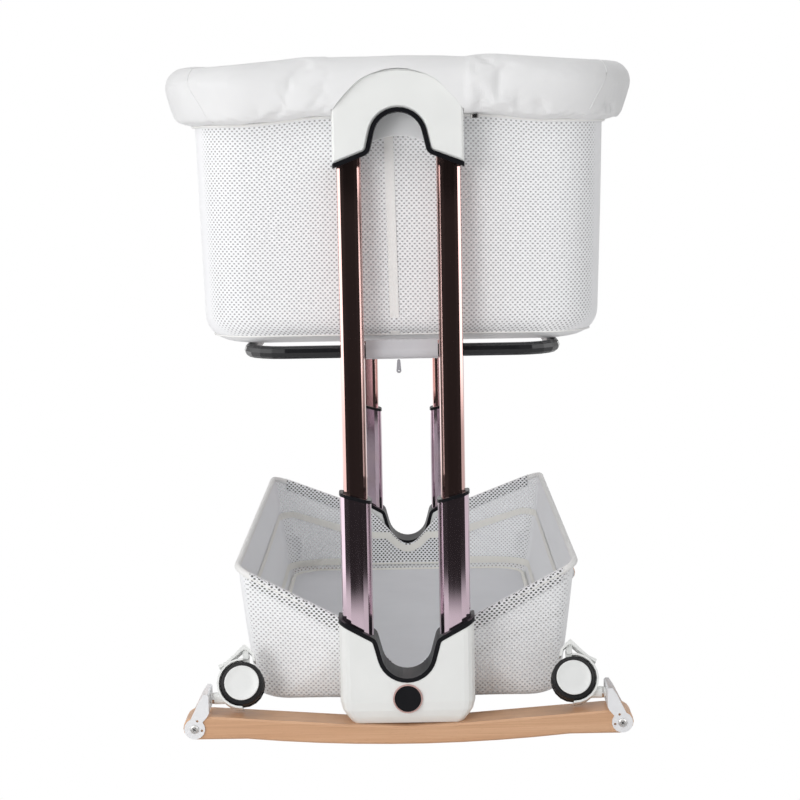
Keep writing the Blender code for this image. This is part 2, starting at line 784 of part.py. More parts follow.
def make_rim_tubes(finish):
    """Left and right halves of the rim frame; their ends plug into the top housings."""
    stations = plan_stations(rim_half_x, column_half_y, rim_corner, end_shares, side_shares)
    end_x = crown_half_x - rim_socket_length + fit_gap
    for side in (-1, 1):
        chosen = [(point, outward) for point, outward in stations if side * point.x > end_x]
        start = next(index for index, (point, outward) in enumerate(chosen)
                     if abs(point.y + side * column_half_y) < fit_gap and
                     side * point.x == min(side * p.x for p, o in chosen if abs(p.y + side * column_half_y) < fit_gap))
        ordered = chosen[start:] + chosen[:start]
        plug_low = (Vector((side * end_x, -side * column_half_y)), Vector((0, -side)))
        plug_high = (Vector((side * end_x, side * column_half_y)), Vector((0, side)))
        rings = []
        for point, outward in [plug_low] + ordered + [plug_high]:
            ring = []
            for across, up in circle(rim_tube_radius, 12):
                spot = point + outward * across
                ring.append((spot.x, spot.y, rim_z + up))
            rings.append(ring)
        solid(f"rim_tube_{side_names[side]}", rings, finish)


# Mesh body, mattress, bottom frame and sleeves

def plan_ring(half_x, half_y, corner, level, inward=0):
    """One ring of a plan loop; level is a height or a function of the point."""
    ring = []
    for point, outward in plan_stations(half_x, half_y, corner, end_shares, side_shares):
        spot = point - outward * inward
        height = level(spot) if callable(level) else level
        ring.append((spot.x, spot.y, height))
    return ring


def make_body(finish):
    top = [plan_ring(body_half_x, body_half_y, body_corner, lambda spot: pad_bottom_z(spot.x) - body_top_gap)]
    outer = top
    round_top_z = body_floor_z + body_bottom_round
    middle_z = (rim_z - pad_bottom_height + round_top_z) / 2
    outer.append(plan_ring(body_half_x - body_taper / 2, body_half_y - body_taper / 2, body_corner, middle_z))
    for index in range(4):
        angle = math.pi / 2 * index / 3
        shrink = body_taper + body_bottom_round * (1 - math.cos(angle))
        level = round_top_z - body_bottom_round * math.sin(angle)
        corner = body_corner - body_bottom_round * (1 - math.cos(angle)) * 0.4
        outer.append(plan_ring(body_half_x - shrink, body_half_y - shrink, corner, level))
    inner = []
    for ring in reversed(outer):
        inner.append(ring)
    walls = []
    for ring in inner:
        points = []
        count = len(ring)
        for index in range(count):
            before = Vector(ring[index - 1][:2])
            after = Vector(ring[(index + 1) % count][:2])
            along = (after - before).normalized()
            spot = Vector(ring[index][:2]) - Vector((along.y, -along.x)) * body_wall
            height = ring[index][2]
            if height < round_top_z:
                height += body_wall * (round_top_z - height) / body_bottom_round
            points.append((spot.x, spot.y, height))
        walls.append(points)
    rings = outer + walls
    body = open_box("mesh_body", rings, len(outer), finish)
    return body


def open_box(name, rings, outer_count, finish):
    """An open-topped shell: rings run down the outside, then up the inside."""
    mesh = bmesh.new()
    loops = [[mesh.verts.new(point) for point in ring] for ring in rings]
    count = len(loops[0])
    for level in range(len(loops)):
        if level == outer_count - 1:
            continue
        low = loops[level]
        high = loops[(level + 1) % len(loops)]
        for index in range(count):
            following = (index + 1) % count
            mesh.faces.new((low[index], low[following], high[following], high[index]))
    mesh.faces.new(loops[outer_count - 1])
    mesh.faces.new(loops[outer_count])
    bmesh.ops.recalc_face_normals(mesh, faces=mesh.faces)
    data = bpy.data.meshes.new(name)
    mesh.to_mesh(data)
    mesh.free()
    data.materials.append(finish)
    data.shade_smooth()
    data.set_sharp_from_angle(angle=shade_angle)
    made = bpy.data.objects.new(name, data)
    bpy.context.scene.collection.objects.link(made)
    return made


def make_mattress(finish):
    base = body_floor_z + body_wall + fit_gap
    rings = []
    for height_share, shrink_share in mattress_side_shares:
        shrink = mattress_corner * shrink_share
        outline = rounded_rectangle(mattress_half_x - shrink, mattress_half_y - shrink, mattress_corner, 5)
        rings.append(level_ring(outline, base + mattress_height * height_share))
    for shrink_share, rise_share in mattress_top_shares:
        shrink = mattress_half_x * shrink_share
        corner = mattress_corner * (1 - shrink_share)
        outline = rounded_rectangle(mattress_half_x - shrink, mattress_half_y - shrink, corner, 5)
        rings.append(level_ring(outline, base + mattress_height + mattress_crown * rise_share))
    solid("mattress", rings, finish)


def make_bottom_frame(tube_finish, sleeve_finish):
    centre_z = body_floor_z - fit_gap - frame_tube_radius
    stations = plan_stations(frame_half_x, frame_half_y, frame_corner, (0,), (0,))
    rings = []
    for point, outward in stations:
        ring = []
        for across, up in circle(frame_tube_radius, 10):
            spot = point + outward * across
            ring.append((spot.x, spot.y, centre_z + up))
        rings.append(ring)
    solid("bottom_frame", rings, tube_finish, True)
    inner_radius = (frame_tube_radius + fit_gap) / math.cos(math.pi / 12)
    outer_radius = inner_radius + sleeve_wall
    for end in (-1, 1):
        place = Matrix.Translation((0, end * frame_half_y, centre_z))
        loop_outer = arc((0, 0), outer_radius, math.radians(150), math.radians(390), 10)
        loop_inner = arc((0, 0), inner_radius, math.radians(390), math.radians(150), 10)
        rings = [[(along, y, z) for y, z in loop_outer + loop_inner]
                 for along in (-sleeve_half_length, sleeve_half_length)]
        solid(f"frame_sleeve_{end_names[end]}", rings, sleeve_finish, place=place)


# Zips

def make_zips(metal_finish):
    base_z = pad_bottom_z(slider_x) - slider_gap
    outline = rounded_rectangle(slider_length / 2, slider_width / 2, slider_width * 0.3, 3)
    rings = [level_ring(outline, -slider_height), level_ring(inset(outline, slider_width * 0.08), 0)]
    place = Matrix.Translation((slider_x, -column_half_y - pad_half_width * 0.30, base_z))
    solid("rim_zip_slider", rings, metal_finish, place=place)
    top = puller_width * 0.32
    outline = arc((0, 0), top, 0, math.pi, 6)
    outline += arc((0, -puller_length + puller_width / 2), puller_width / 2, math.pi, math.tau, 6)
    sleeve_bottom = body_floor_z - fit_gap * 2 - 2 * frame_tube_radius - sleeve_wall
    rings = plate_rings(outline, -puller_thickness / 2, puller_thickness / 2)
    place = Matrix.Translation((puller_x, -frame_half_y, sleeve_bottom - top - fit_gap * 2))
    pull = solid("zip_pull", rings, metal_finish, place=place)
    eye = [(puller_width * 0.14, -puller_width), (puller_width * 0.14, puller_width)]
    eye_place = place @ Matrix.Translation((0, 0, -puller_length + puller_width / 2))
    combine(pull, cutter("cut_pull_eye", turned_rings(eye, 8, "Y"), place=eye_place))


# Lower basket

def rail_route(side):
    """Centreline of one side rail, from the near housing to the far one."""
    near_corner = Vector((side * rail_half_x, -rail_corner_y, rail_z))
    plug = Vector((side * rail_end_x, -rail_plane_y, rail_end_z))
    face_y = -column_half_y + housing_half_y
    points = [Vector((plug.x, face_y - rail_plug_length, plug.z)), Vector((plug.x, face_y + rail_radius, plug.z))]
    direction = (near_corner - plug).normalized()
    points.append(plug + direction * rail_radius * 2)
    before = near_corner - direction * rail_corner_radius
    after = near_corner + Vector((0, rail_corner_radius, 0))
    for index in range(6):
        share = index / 5
        points.append(before.lerp(near_corner, share).lerp(near_corner.lerp(after, share), share))
    points.append(Vector((side * rail_half_x, 0, rail_z)))
    mirror = [Vector((point.x, -point.y, point.z)) for point in reversed(points[:-1])]
    return points + mirror


def make_rails(finish):
    for side in (-1, 1):
        route = rail_route(side)
        rings = []
        for index, point in enumerate(route):
            before = route[max(index - 1, 0)]
            after = route[min(index + 1, len(route) - 1)]
            along = (after - before).normalized()
            level = Vector((0, 0, 1))
            across = along.cross(level).normalized()
            upward = across.cross(along)
            rings.append([tuple(point + across * x + upward * y) for x, y in circle(rail_radius, 8)])
        solid(f"basket_rail_{side_names[side]}", rings, finish)


def basket_rim_z(x):
    """Height of the basket's top edge: level sides, ends that slope down to the housings and dip between."""
    under = rail_radius + fit_gap
    reach = abs(x)
    if reach > rail_end_x:
        share = (rail_half_x - reach) / (rail_half_x - rail_end_x)
        return rail_z + (rail_end_z - rail_z) * max(share, 0) - under
    share = reach / rail_end_x
    return basket_dip_z + (rail_end_z - under - basket_dip_z) * share * share * (3 - 2 * share)


def basket_stations(inset_by=0):
    """Rim points round the basket from the middle of the right side, each with its point on the floor's edge."""
    core_x = basket_floor_half_x - basket_floor_corner
    core_y = basket_floor_half_y - basket_floor_corner
    radius = basket_floor_corner - inset_by
    corner = Vector((rail_half_x, rail_corner_y))
    end = Vector((rail_end_x, rail_plane_y))
    before = corner - Vector((0, rail_corner_radius))
    after = corner + (end - corner).normalized() * rail_corner_radius
    quarter = []
    for share in (0, 0.5):
        quarter.append((Vector((rail_half_x, rail_corner_y * share)), Vector((core_x + radius, core_y * share))))
    for index in range(5):
        share = index / 4
        rim = before.lerp(corner, share).lerp(corner.lerp(after, share), share)
        turn = math.radians(38) * share
        quarter.append((rim, Vector((core_x + radius * math.cos(turn), core_y + radius * math.sin(turn)))))
    for share in (0.33, 0.66, 1):
        turn = math.radians(38 + 52 * share)
        quarter.append((after.lerp(end, share),
                        Vector((core_x + radius * math.cos(turn), core_y + radius * math.sin(turn)))))
    for share in (0.75, 0.5, 0.25, 0):
        quarter.append((Vector((rail_end_x * share, rail_plane_y)), Vector((core_x * share, core_y + radius))))
    half = quarter + [(Vector((-rim.x, rim.y)), Vector((-low.x, low.y))) for rim, low in reversed(quarter[:-1])]
    return half + [(Vector((rim.x, -rim.y)), Vector((low.x, -low.y))) for rim, low in reversed(half[1:-1])]


def make_basket(mesh_finish, panel_finish):
    outer = []
    for share in basket_wall_shares:
        ring = []
        for rim, low in basket_stations():
            low_z = basket_floor_z + basket_bottom_round
            spot = low.lerp(rim, share ** basket_bulge_power)
            ring.append((spot.x, spot.y, low_z + (basket_rim_z(rim.x) - low_z) * share))
        outer.append(ring)
    for inset_share in (basket_round_share, 1):
        lift = basket_bottom_round * (basket_round_share if inset_share < 1 else 0)
        ring = [(low.x, low.y, basket_floor_z + lift)
                for rim, low in basket_stations(basket_bottom_round * inset_share)]
        outer.append(ring)
    count = len(outer[0])
    walls = []
    for depth, ring in enumerate(reversed(outer)):
        points = []
        for index in range(count):
            before = Vector(ring[index - 1][:2])
            after = Vector(ring[(index + 1) % count][:2])
            along = (after - before).normalized()
            spot = Vector(ring[index][:2]) - Vector((along.y, -along.x)) * basket_wall
            lift = basket_wall if depth < 2 else 0
            points.append((spot.x, spot.y, ring[index][2] + lift))
        walls.append(points)
    open_box("basket_mesh", outer + walls, len(outer), mesh_finish)
    base = basket_floor_z + basket_wall + fit_gap
    half_x = basket_floor_half_x - floor_panel_margin
    half_y = basket_floor_half_y - floor_panel_margin
    outline = rounded_rectangle(half_x, half_y, basket_floor_corner, 6)
    rings = [level_ring(inset(outline, floor_panel_thickness * 0.3), base),
             level_ring(outline, base + floor_panel_thickness * 0.3),
             level_ring(outline, base + floor_panel_thickness * 0.7),
             level_ring(inset(outline, floor_panel_thickness * 0.3), base + floor_panel_thickness)]
    solid("basket_floor", rings, panel_finish)


# Fold-away casters

def bracket_outline():
    """Side view of one arm: lobe round the pivot, waist, and the leaning arm up to the web."""
    web_u = bracket_web_u
    top_v = bracket_web_top_v
    lobe = arc((0, 0), bracket_lobe_radius, math.radians(112), math.radians(400), 12)
    arm = [(web_u - bracket_web_thickness * 0.2, bracket_web_bottom_v * 0.78), (web_u + bracket_web_thickness, bracket_web_bottom_v),
           (web_u + bracket_web_thickness, top_v - bracket_web_thickness), (web_u, top_v),
           (web_u - bracket_web_thickness * 2, top_v), (web_u * 0.4, top_v * 0.8)]
    return lobe + arm


def make_caster_parts(finishes):
    """The four kinds of caster piece at the near left corner; the other corners copy them."""
    arm_out = ski_depth / 2 + bracket_side_gap + bracket_plate
    arm_in = ski_depth / 2 + bracket_side_gap
    outline = bracket_outline()
    bracket = solid("bracket_near_left", plate_rings(outline, -arm_out, -arm_in), finishes["steel_white"])
    other = cutter("join_bracket_arm", plate_rings(outline, arm_in, arm_out))
    combine(bracket, other, "UNION")
    web = [(bracket_web_u, bracket_web_bottom_v), (bracket_web_u + bracket_web_thickness, bracket_web_bottom_v),
           (bracket_web_u + bracket_web_thickness, bracket_web_top_v - bracket_web_thickness),
           (bracket_web_u, bracket_web_top_v - bracket_web_thickness)]
    shrink = bracket_plate / 2
    combine(bracket, cutter("join_bracket_web", plate_rings(web, -arm_out + shrink, arm_out - shrink)), "UNION")
    bore = [(screw_radius + screw_clearance, -ski_depth), (screw_radius + screw_clearance, ski_depth)]
    combine(bracket, cutter("cut_bracket_bore", turned_rings(bore, round_steps, "Y")))
    for label, hole_u, hole_v in (("a", 0.27, 0.77), ("b", 0.70, -0.16)):
        spot = (bracket_lobe_radius * hole_u, 0, bracket_lobe_radius * hole_v)
        hole = [(bracket_hole_radius, -ski_depth), (bracket_hole_radius, ski_depth)]
        tool = cutter(f"cut_bracket_hole_{label}", turned_rings(hole, 7, "Y"), place=Matrix.Translation(spot))
        combine(bracket, tool)
    stem_bore = [(stem_radius + fit_gap, 0), (stem_radius + fit_gap, wheel_u)]
    combine(bracket, cutter("cut_bracket_stem", turned_rings(stem_bore, 14, "X"),
                            place=Matrix.Translation((0, 0, stem_v))))
    return bracket


def make_fork(finish):
    """Hood with its central web, boss, steel cup and stem, about the stem's axis."""
    web_face = bracket_web_u + bracket_web_thickness
    inner = wheel_radius + hood_gap
    outer = inner + hood_thickness
    centre = (wheel_u, wheel_trail)
    boss_start = web_face + fit_gap + stem_cup_length
    stem = [(stem_head_radius, bracket_web_u - fit_gap - stem_head_height),
            (stem_head_radius, bracket_web_u - fit_gap), (stem_radius, bracket_web_u - fit_gap),
            (stem_radius, web_face + fit_gap), (stem_cup_radius, web_face + fit_gap),
            (stem_cup_radius, boss_start), (stem_boss_radius, boss_start),
            (stem_boss_radius, wheel_u - inner * 0.7)]
    fork = solid("fork_near_left", turned_rings(stem, 14, "X"), finish)
    room = [(inner + hood_thickness / 4, -wheel_half_width), (inner + hood_thickness / 4, wheel_half_width)]
    combine(fork, cutter("cut_fork_room", turned_rings(room, 40, "Y"),
                         place=Matrix.Translation((wheel_u, 0, wheel_trail))))
    shell = arc(centre, outer, math.radians(88), math.radians(272), 12)
    shell += arc(centre, inner, math.radians(272), math.radians(88), 12)
    hood = cutter("join_fork_hood", plate_rings(shell, -hood_half_width, hood_half_width))
    combine(fork, hood, "UNION")
    web = arc(centre, inner + hood_thickness / 2, math.radians(91), math.radians(269), 10)
    web += arc(centre, hood_web_hub, math.radians(-80), math.radians(80), 6)
    combine(fork, cutter("join_fork_web", plate_rings(web, -hood_web_half, hood_web_half)), "UNION")
    lug = arc((pedal_pin_u, pedal_pin_v - stem_v), pedal_lug_radius, 0, math.pi, 6)
    lug += [(pedal_pin_u - pedal_lug_radius, wheel_trail + inner * 0.9),
            (pedal_pin_u + pedal_lug_radius, wheel_trail + inner * 0.55)]
    combine(fork, cutter("join_fork_lug", plate_rings(lug, -hood_web_half, hood_web_half)), "UNION")
    clear = [(axle_radius + fit_gap, -hood_half_width), (axle_radius + fit_gap, hood_half_width)]
    combine(fork, cutter("cut_fork_axle", turned_rings(clear, round_steps, "Y"),
                         place=Matrix.Translation((wheel_u, 0, wheel_trail))))
    pin = [(pedal_pin_radius + fit_gap, -hood_half_width), (pedal_pin_radius + fit_gap, hood_half_width)]
    combine(fork, cutter("cut_fork_pin", turned_rings(pin, 10, "Y"),
                         place=Matrix.Translation((pedal_pin_u, 0, pedal_pin_v - stem_v))))
    return fork


def make_wheel(finish):
    """Two wheels on their axle as one turned solid, about the axle."""
    half = [(wheel_cap_radius * 0.55, wheel_half_width), (wheel_cap_radius, wheel_half_width - wheel_cap_drop),
            (wheel_ring_radius, wheel_half_width - wheel_ring_drop),
            (wheel_radius - wheel_tread_round, wheel_half_width * 0.80),
            (wheel_radius, wheel_half_width * 0.60), (wheel_radius, wheel_inner_gap), (axle_radius, wheel_inner_gap)]
    profile = half + [(radius, -height) for radius, height in reversed(half)]
    return solid("wheels_near_left", turned_rings(profile, wheel_steps, "Y"), finish)


def make_pedal(finish):
    """Curved brake pedal with its two ears and pin, about the pin."""
    u, v = pedal_pin_u, pedal_pin_v
    outline = [(x - u, z - v) for x, z in pedal_top_line + pedal_back_line + pedal_low_line]
    outline.reverse()
    pedal = solid("pedal_near_left", plate_rings(outline, -pedal_half_width, pedal_half_width), finish)
    inner = hood_web_half + pedal_ear_gap
    for sign in (-1, 1):
        ear = arc((0, 0), pedal_lug_radius, math.pi, math.tau, 6) + [(pedal_lug_radius * 0.6, pedal_lug_radius * 1.95),
                                                                   (-pedal_lug_radius, pedal_lug_radius * 1.9)]
        low, high = sorted((sign * inner, sign * (inner + pedal_ear)))
        combine(pedal, cutter(f"join_pedal_ear_{sign}", plate_rings(ear, low, high)), "UNION")
    pin = [(pedal_pin_radius, -inner - pedal_ear / 2), (pedal_pin_radius, inner + pedal_ear / 2)]
    combine(pedal, cutter("join_pedal_pin", turned_rings(pin, 10, "Y")), "UNION")
    return pedal


def make_screw(finish):
    """Through bolt of one pivot: slotted head outside, domed nut inside."""
    reach = ski_depth / 2 + bracket_side_gap + bracket_plate + fit_gap
    profile = [(screw_head_radius * 0.7, -reach - screw_head_height), (screw_head_radius, -reach - screw_head_height / 2),
               (screw_head_radius, -reach), (screw_radius, -reach), (screw_radius, reach),
               (screw_head_radius, reach), (screw_head_radius * 0.8, reach + screw_head_height)]
    return solid("pivot_screw_near_left", turned_rings(profile, 14, "Y"), finish)


def make_casters(finishes):
    bracket = make_caster_parts(finishes)
    fork = make_fork(finishes["white"])
    wheel = make_wheel(finishes["rubber"])
    pedal = make_pedal(finishes["white"])
    screw = make_screw(finishes["steel"])
    for end in (-1, 1):
        for side in (-1, 1):
            label = f"{end_names[end]}_{side_names[side]}"
            turn = Matrix.Rotation(math.pi, 4, "Z") if side > 0 else Matrix.Identity(4)
            pivot = Matrix.Translation((side * ski_pivot_x, end * column_half_y, ski_pivot_z)) @ turn
            lean = Matrix.Rotation(-topple_angle * side * end, 4, "X")
            stem = pivot @ Matrix.Translation((0, 0, stem_v)) @ lean
            screw_turn = Matrix.Rotation(math.pi, 4, "Z") if end > 0 else Matrix.Identity(4)
            screw_place = Matrix.Translation((side * ski_pivot_x, end * column_half_y, ski_pivot_z)) @ screw_turn
            places = ((bracket, "bracket", pivot), (fork, "fork", stem),
                      (wheel, "wheels", stem @ Matrix.Translation((wheel_u, 0, wheel_trail))),
                      (pedal, "pedal", stem @ Matrix.Translation((pedal_pin_u, 0, pedal_pin_v - stem_v))),
                      (screw, "pivot_screw", screw_place))
            for source, kind, place in places:
                if end == -1 and side == -1:
                    move_with_tools(source, place)
                else:
                    bake_copy(source, f"{kind}_{label}", place)


def move_with_tools(source, place):
    """Place a piece and the tools of its Booleans, which were all made about the piece's own origin."""
    for modifier in source.modifiers:
        tool = modifier.object
        tool.matrix_world = place @ tool.matrix_world
    source.matrix_world = place


def bake_copy(source, name, place):
    """A copy with its own tools, so that each copy's Booleans cut it where it stands."""
    made = source.copy()
    made.name = name
    bpy.context.scene.collection.objects.link(made)
    home = source.matrix_world.inverted()
    for modifier in made.modifiers:
        tool = modifier.object.copy()
        bpy.context.scene.collection.objects.link(tool)
        tool.matrix_world = place @ home @ modifier.object.matrix_world
        modifier.object = tool
    made.matrix_world = place
    return made


def build():
    for old in list(bpy.data.objects):
        bpy.data.objects.remove(old)
    beech = material("beech", (0.72, 0.46, 0.28), 0.45)
    white = material("white_plastic", (0.86, 0.87, 0.85), 0.40)
    black = material("black_plastic", (0.015, 0.015, 0.017), 0.35)
    rose = material("rose_gold", (0.55, 0.36, 0.36), 0.18, 1)
    steel = material("screw_steel", (0.62, 0.62, 0.62), 0.30, 1)
    rail = material("rail_steel", (0.70, 0.70, 0.70), 0.35, 1)
    rubber = material("tyre_rubber", (0.02, 0.02, 0.02), 0.55)
    paddle = material("paddle_plastic", (0.84, 0.85, 0.86), 0.45)
    painted = material("white_painted_steel", (0.85, 0.85, 0.87), 0.35)
    frame = material("black_painted_steel", (0.012, 0.012, 0.014), 0.22)
    quilt = material("rim_fabric", (0.88, 0.88, 0.88), 0.85)
    net = material("mesh_fabric", (0.87, 0.88, 0.90), 0.80)
    sheet = material("sleeve_fabric", (0.78, 0.78, 0.80), 0.85)
    foam = material("mattress_fabric", (0.90, 0.90, 0.88), 0.90)
    grey = material("grey_panel", (0.62, 0.63, 0.65), 0.85)
    make_skis(beech)
    make_legs(rose, black)
    make_lower_housings(white, black)
    make_badge(black, rose)
    make_top_housings(white, black, paddle)
    make_rim(quilt, rail)
    make_body(net)
    make_mattress(foam)
    make_bottom_frame(frame, sheet)
    make_zips(steel)
    make_rails(rail)
    make_basket(net, grey)
    make_casters({"steel_white": painted, "white": white, "rubber": rubber, "steel": steel})


build()
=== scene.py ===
# Looks of the bedside bassinet: finishes, fabric, mesh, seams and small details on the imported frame.
import json
from math import asin, atan2, cos, hypot, pi, radians, sin, sqrt, tau

import bmesh
import bpy
from mathutils import Matrix, Vector, noise
from mathutils.bvhtree import BVHTree


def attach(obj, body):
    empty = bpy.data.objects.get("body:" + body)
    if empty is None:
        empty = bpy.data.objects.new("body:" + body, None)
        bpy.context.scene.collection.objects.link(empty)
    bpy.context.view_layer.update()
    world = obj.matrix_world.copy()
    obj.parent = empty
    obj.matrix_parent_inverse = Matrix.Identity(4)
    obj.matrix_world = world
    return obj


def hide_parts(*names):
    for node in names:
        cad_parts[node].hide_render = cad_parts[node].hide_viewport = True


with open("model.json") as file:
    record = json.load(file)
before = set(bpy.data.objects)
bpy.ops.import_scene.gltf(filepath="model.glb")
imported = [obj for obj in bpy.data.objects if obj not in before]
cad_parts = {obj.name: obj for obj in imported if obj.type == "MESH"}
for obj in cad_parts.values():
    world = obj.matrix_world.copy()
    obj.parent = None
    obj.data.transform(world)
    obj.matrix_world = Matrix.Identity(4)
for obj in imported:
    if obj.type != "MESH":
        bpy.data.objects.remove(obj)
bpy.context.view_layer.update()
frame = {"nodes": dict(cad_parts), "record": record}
scene = bpy.context.scene

# Sizes shared with the CAD part, in metres
column_half_y = 0.4225
rim_z = 0.7935
rim_half_x = 0.2475
rim_corner = 0.078
pad_half_width = 0.0318
pad_top_height = 0.0280
pad_crown_rise = 0.0048
pad_crown_reach = 0.210
pad_lean = 0.0080
pad_bottom_height = 0.0355
pad_droop = 0.0085
pad_droop_start_x = 0.082
pad_droop_end_x = 0.190
pad_top_corner = 0.0260
pad_outer_corner = 0.0200
pad_inner_corner = 0.0080
crown_half_x = 0.077
crown_spring_z = 0.764
crown_rise = 0.0465
crown_half_y = 0.025
body_half_x = 0.2495
body_half_y = 0.3968
body_corner = 0.062
body_taper = 0.0060
body_floor_z = 0.4835
body_bottom_round = 0.036
mattress_half_x = 0.2080
mattress_half_y = 0.3590
mattress_corner = 0.055
mattress_height = 0.030
mattress_crown = 0.006
frame_half_y = 0.3910
frame_tube_radius = 0.0080
sleeve_half_length = 0.0435
rail_half_x = 0.2130
rail_z = 0.1990
rail_radius = 0.0030
rail_corner_y = 0.3485
rail_corner_radius = 0.028
rail_end_x = 0.0650
rail_end_z = 0.1335
rail_plane_y = 0.3935
basket_floor_z = 0.0360
basket_floor_half_x = 0.1920
basket_floor_half_y = 0.3740
basket_floor_corner = 0.045
basket_bottom_round = 0.012
basket_bulge_power = 0.80
basket_dip_z = 0.0800
panel_half_x = 0.1835
panel_half_y = 0.3650
panel_base_z = 0.0381
panel_height = 0.0045
pivot_x = 0.2595
pivot_z = 0.0236
pivot_head_reach = 0.0276
stem_v = 0.0312
stem_nut_u = 0.0198
wheel_u = 0.0570
wheel_trail = 0.0160
wheel_half_width = 0.0150
wheel_cap_radius = 0.0212
topple = radians(25)

# Sizes that follow from them
body_round_top = body_floor_z + body_bottom_round
basket_low_z = basket_floor_z + basket_bottom_round

# Lengths between the points of a cloth piece, and of a cord
cloth_step = 0.012
cord_step = 0.010

# Photograph's camera
camera_place = Vector((0.0130, -2.743, 0.714))
camera_azimuth = radians(0.399)
camera_pitch = radians(7.25)
camera_roll = radians(1.05)
camera_lens = 87.75

ends = {"near": -1, "far": 1}
sides = {"left": -1, "right": 1}
square = ((-1, -1), (1, -1), (1, 1), (-1, 1))
caster_corners = [(f"{end_name}_{side_name}", end, side)
                  for end_name, end in ends.items() for side_name, side in sides.items()]


# Materials

class Graph:
    """The shader nodes of one material or of the world."""

    def __init__(self, owner):
        owner.use_nodes = True
        self.nodes = owner.node_tree.nodes
        self.links = owner.node_tree.links

    def feed(self, node, inputs):
        """Each input, by name or number, takes a value or another node's output."""
        for key, value in dict(inputs).items():
            if isinstance(value, bpy.types.NodeSocket):
                self.links.new(value, node.inputs[key])
            else:
                node.inputs[key].default_value = value

    def node(self, kind, inputs=(), **settings):
        made = self.nodes.new("ShaderNode" + kind)
        for key, value in settings.items():
            setattr(made, key, value)
        self.feed(made, inputs)
        return made

    def math(self, operation, *values):
        return self.node("Math", enumerate(values), operation=operation).outputs[0]

    def vector(self, operation, *values, output="Vector"):
        return self.node("VectorMath", enumerate(values), operation=operation).outputs[output]

    def split(self, vector):
        return self.node("SeparateXYZ", {"Vector": vector}).outputs

    def mapped(self, scale, source="Object", shift=(0, 0, 0)):
        scale = scale if isinstance(scale, tuple) else (scale, scale, scale)
        coordinates = self.node("TexCoord").outputs[source]
        return self.node("Mapping", {"Vector": coordinates, "Scale": scale, "Location": shift}).outputs["Vector"]

    def noise(self, scale, detail=3, roughness=0.5):
        return self.node("TexNoise", {"Vector": self.mapped(scale), "Scale": 1, "Detail": detail,
                                      "Roughness": roughness}).outputs["Fac"]

    def ramp(self, value, stops):
        made = self.node("ValToRGB", {"Fac": value})
        elements = made.color_ramp.elements
        while len(elements) < len(stops):
            elements.new(0.5)
        for element, (place, color) in zip(elements, stops):
            element.position = place
            element.color = (*color, 1)
        return made.outputs["Color"]

    def two_tones(self, value, color, shade):
        return self.ramp(value, [(0.3, darker(color, shade)), (0.7, color)])

    def remap(self, value, low, high, start=0.3, end=0.7):
        return self.node("MapRange", {"Value": value, "From Min": start, "From Max": end, "To Min": low,
                                      "To Max": high}).outputs["Result"]

    def blend(self, share, first, second, kind="FLOAT"):
        return self.node("Mix", {"Factor": share, "A": first, "B": second}, data_type=kind).outputs["Result"]

    def look(self, inputs):
        self.feed(self.shader, inputs)

    def bump(self, height, strength, distance):
        made = self.node("Bump", {"Height": height, "Strength": strength, "Distance": distance})
        self.look({"Normal": made.outputs["Normal"]})


def darker(color, share):
    return tuple(channel * share for channel in color)


def new_material(name, color, roughness):
    made = bpy.data.materials.new(name)
    graph = Graph(made)
    graph.shader = graph.nodes["Principled BSDF"]
    graph.look({"Base Color": (*color, 1), "Roughness": roughness})
    return made, graph


def beech_material():
    """Varnished beech: straight fine grain along the ski, soft bands and short darker flecks."""
    made, graph = new_material("beech_grain", (0.62, 0.37, 0.21), 0.42)
    bands = graph.noise((1.6, 38, 75))
    grain = graph.noise((9, 420, 640), 3, 0.6)
    both = graph.math("ADD", graph.math("MULTIPLY", bands, 0.6), graph.math("MULTIPLY", grain, 0.4))
    tone = graph.ramp(both, [(0.34, (0.52, 0.285, 0.158)), (0.50, (0.64, 0.372, 0.214)),
                             (0.66, (0.74, 0.460, 0.280))])
    flecks = graph.remap(graph.noise((130, 1500, 1500), 2, 0.6), 0, 0.45, 0.60, 0.74)
    graph.look({"Base Color": graph.blend(flecks, tone, (0.46, 0.24, 0.13, 1), "RGBA"),
                "Roughness": graph.remap(both, 0.36, 0.50),
                "Coat Weight": 0.2, "Coat Roughness": 0.3})
    graph.bump(grain, 0.12, 0.0003)
    return made


def plastic(name, color, roughness, grain=0.05, specular=0.5):
    made, graph = new_material(name, color, roughness)
    broad = graph.noise(22, 2)
    graph.look({"Base Color": graph.two_tones(broad, color, 0.96),
                "Roughness": graph.remap(broad, roughness * 0.9, roughness * 1.12),
                "Specular IOR Level": specular})
    graph.bump(graph.noise(1600, 2), grain, 0.0002)
    return made


def metal(name, color, roughness, along, grain=0.04):
    made, graph = new_material(name, color, roughness)
    drawn = graph.noise(along, 2, 0.6)
    graph.look({"Base Color": graph.two_tones(drawn, color, 0.93),
                "Roughness": graph.remap(drawn, roughness * 0.85, roughness * 1.2), "Metallic": 1})
    graph.bump(drawn, grain, 0.0001)
    return made


def woven(name, color, roughness, threads, grain, sheen=0.25):
    """Plain weave: crossed threads in bump, with slow variation of tone."""
    made, graph = new_material(name, color, roughness)
    along = graph.split(graph.mapped(threads, "UV"))
    warp, weft = [graph.math("SINE", graph.math("MULTIPLY", along[axis], tau)) for axis in "XY"]
    weave = graph.math("MULTIPLY", warp, weft)
    height = graph.math("ADD", graph.math("MULTIPLY", weave, 0.35), graph.noise(700, 3, 0.6))
    graph.look({"Base Color": graph.two_tones(graph.noise(14), color, 0.95),
                "Sheen Weight": sheen, "Sheen Roughness": 0.5})
    graph.bump(height, grain, 0.0004)
    return made


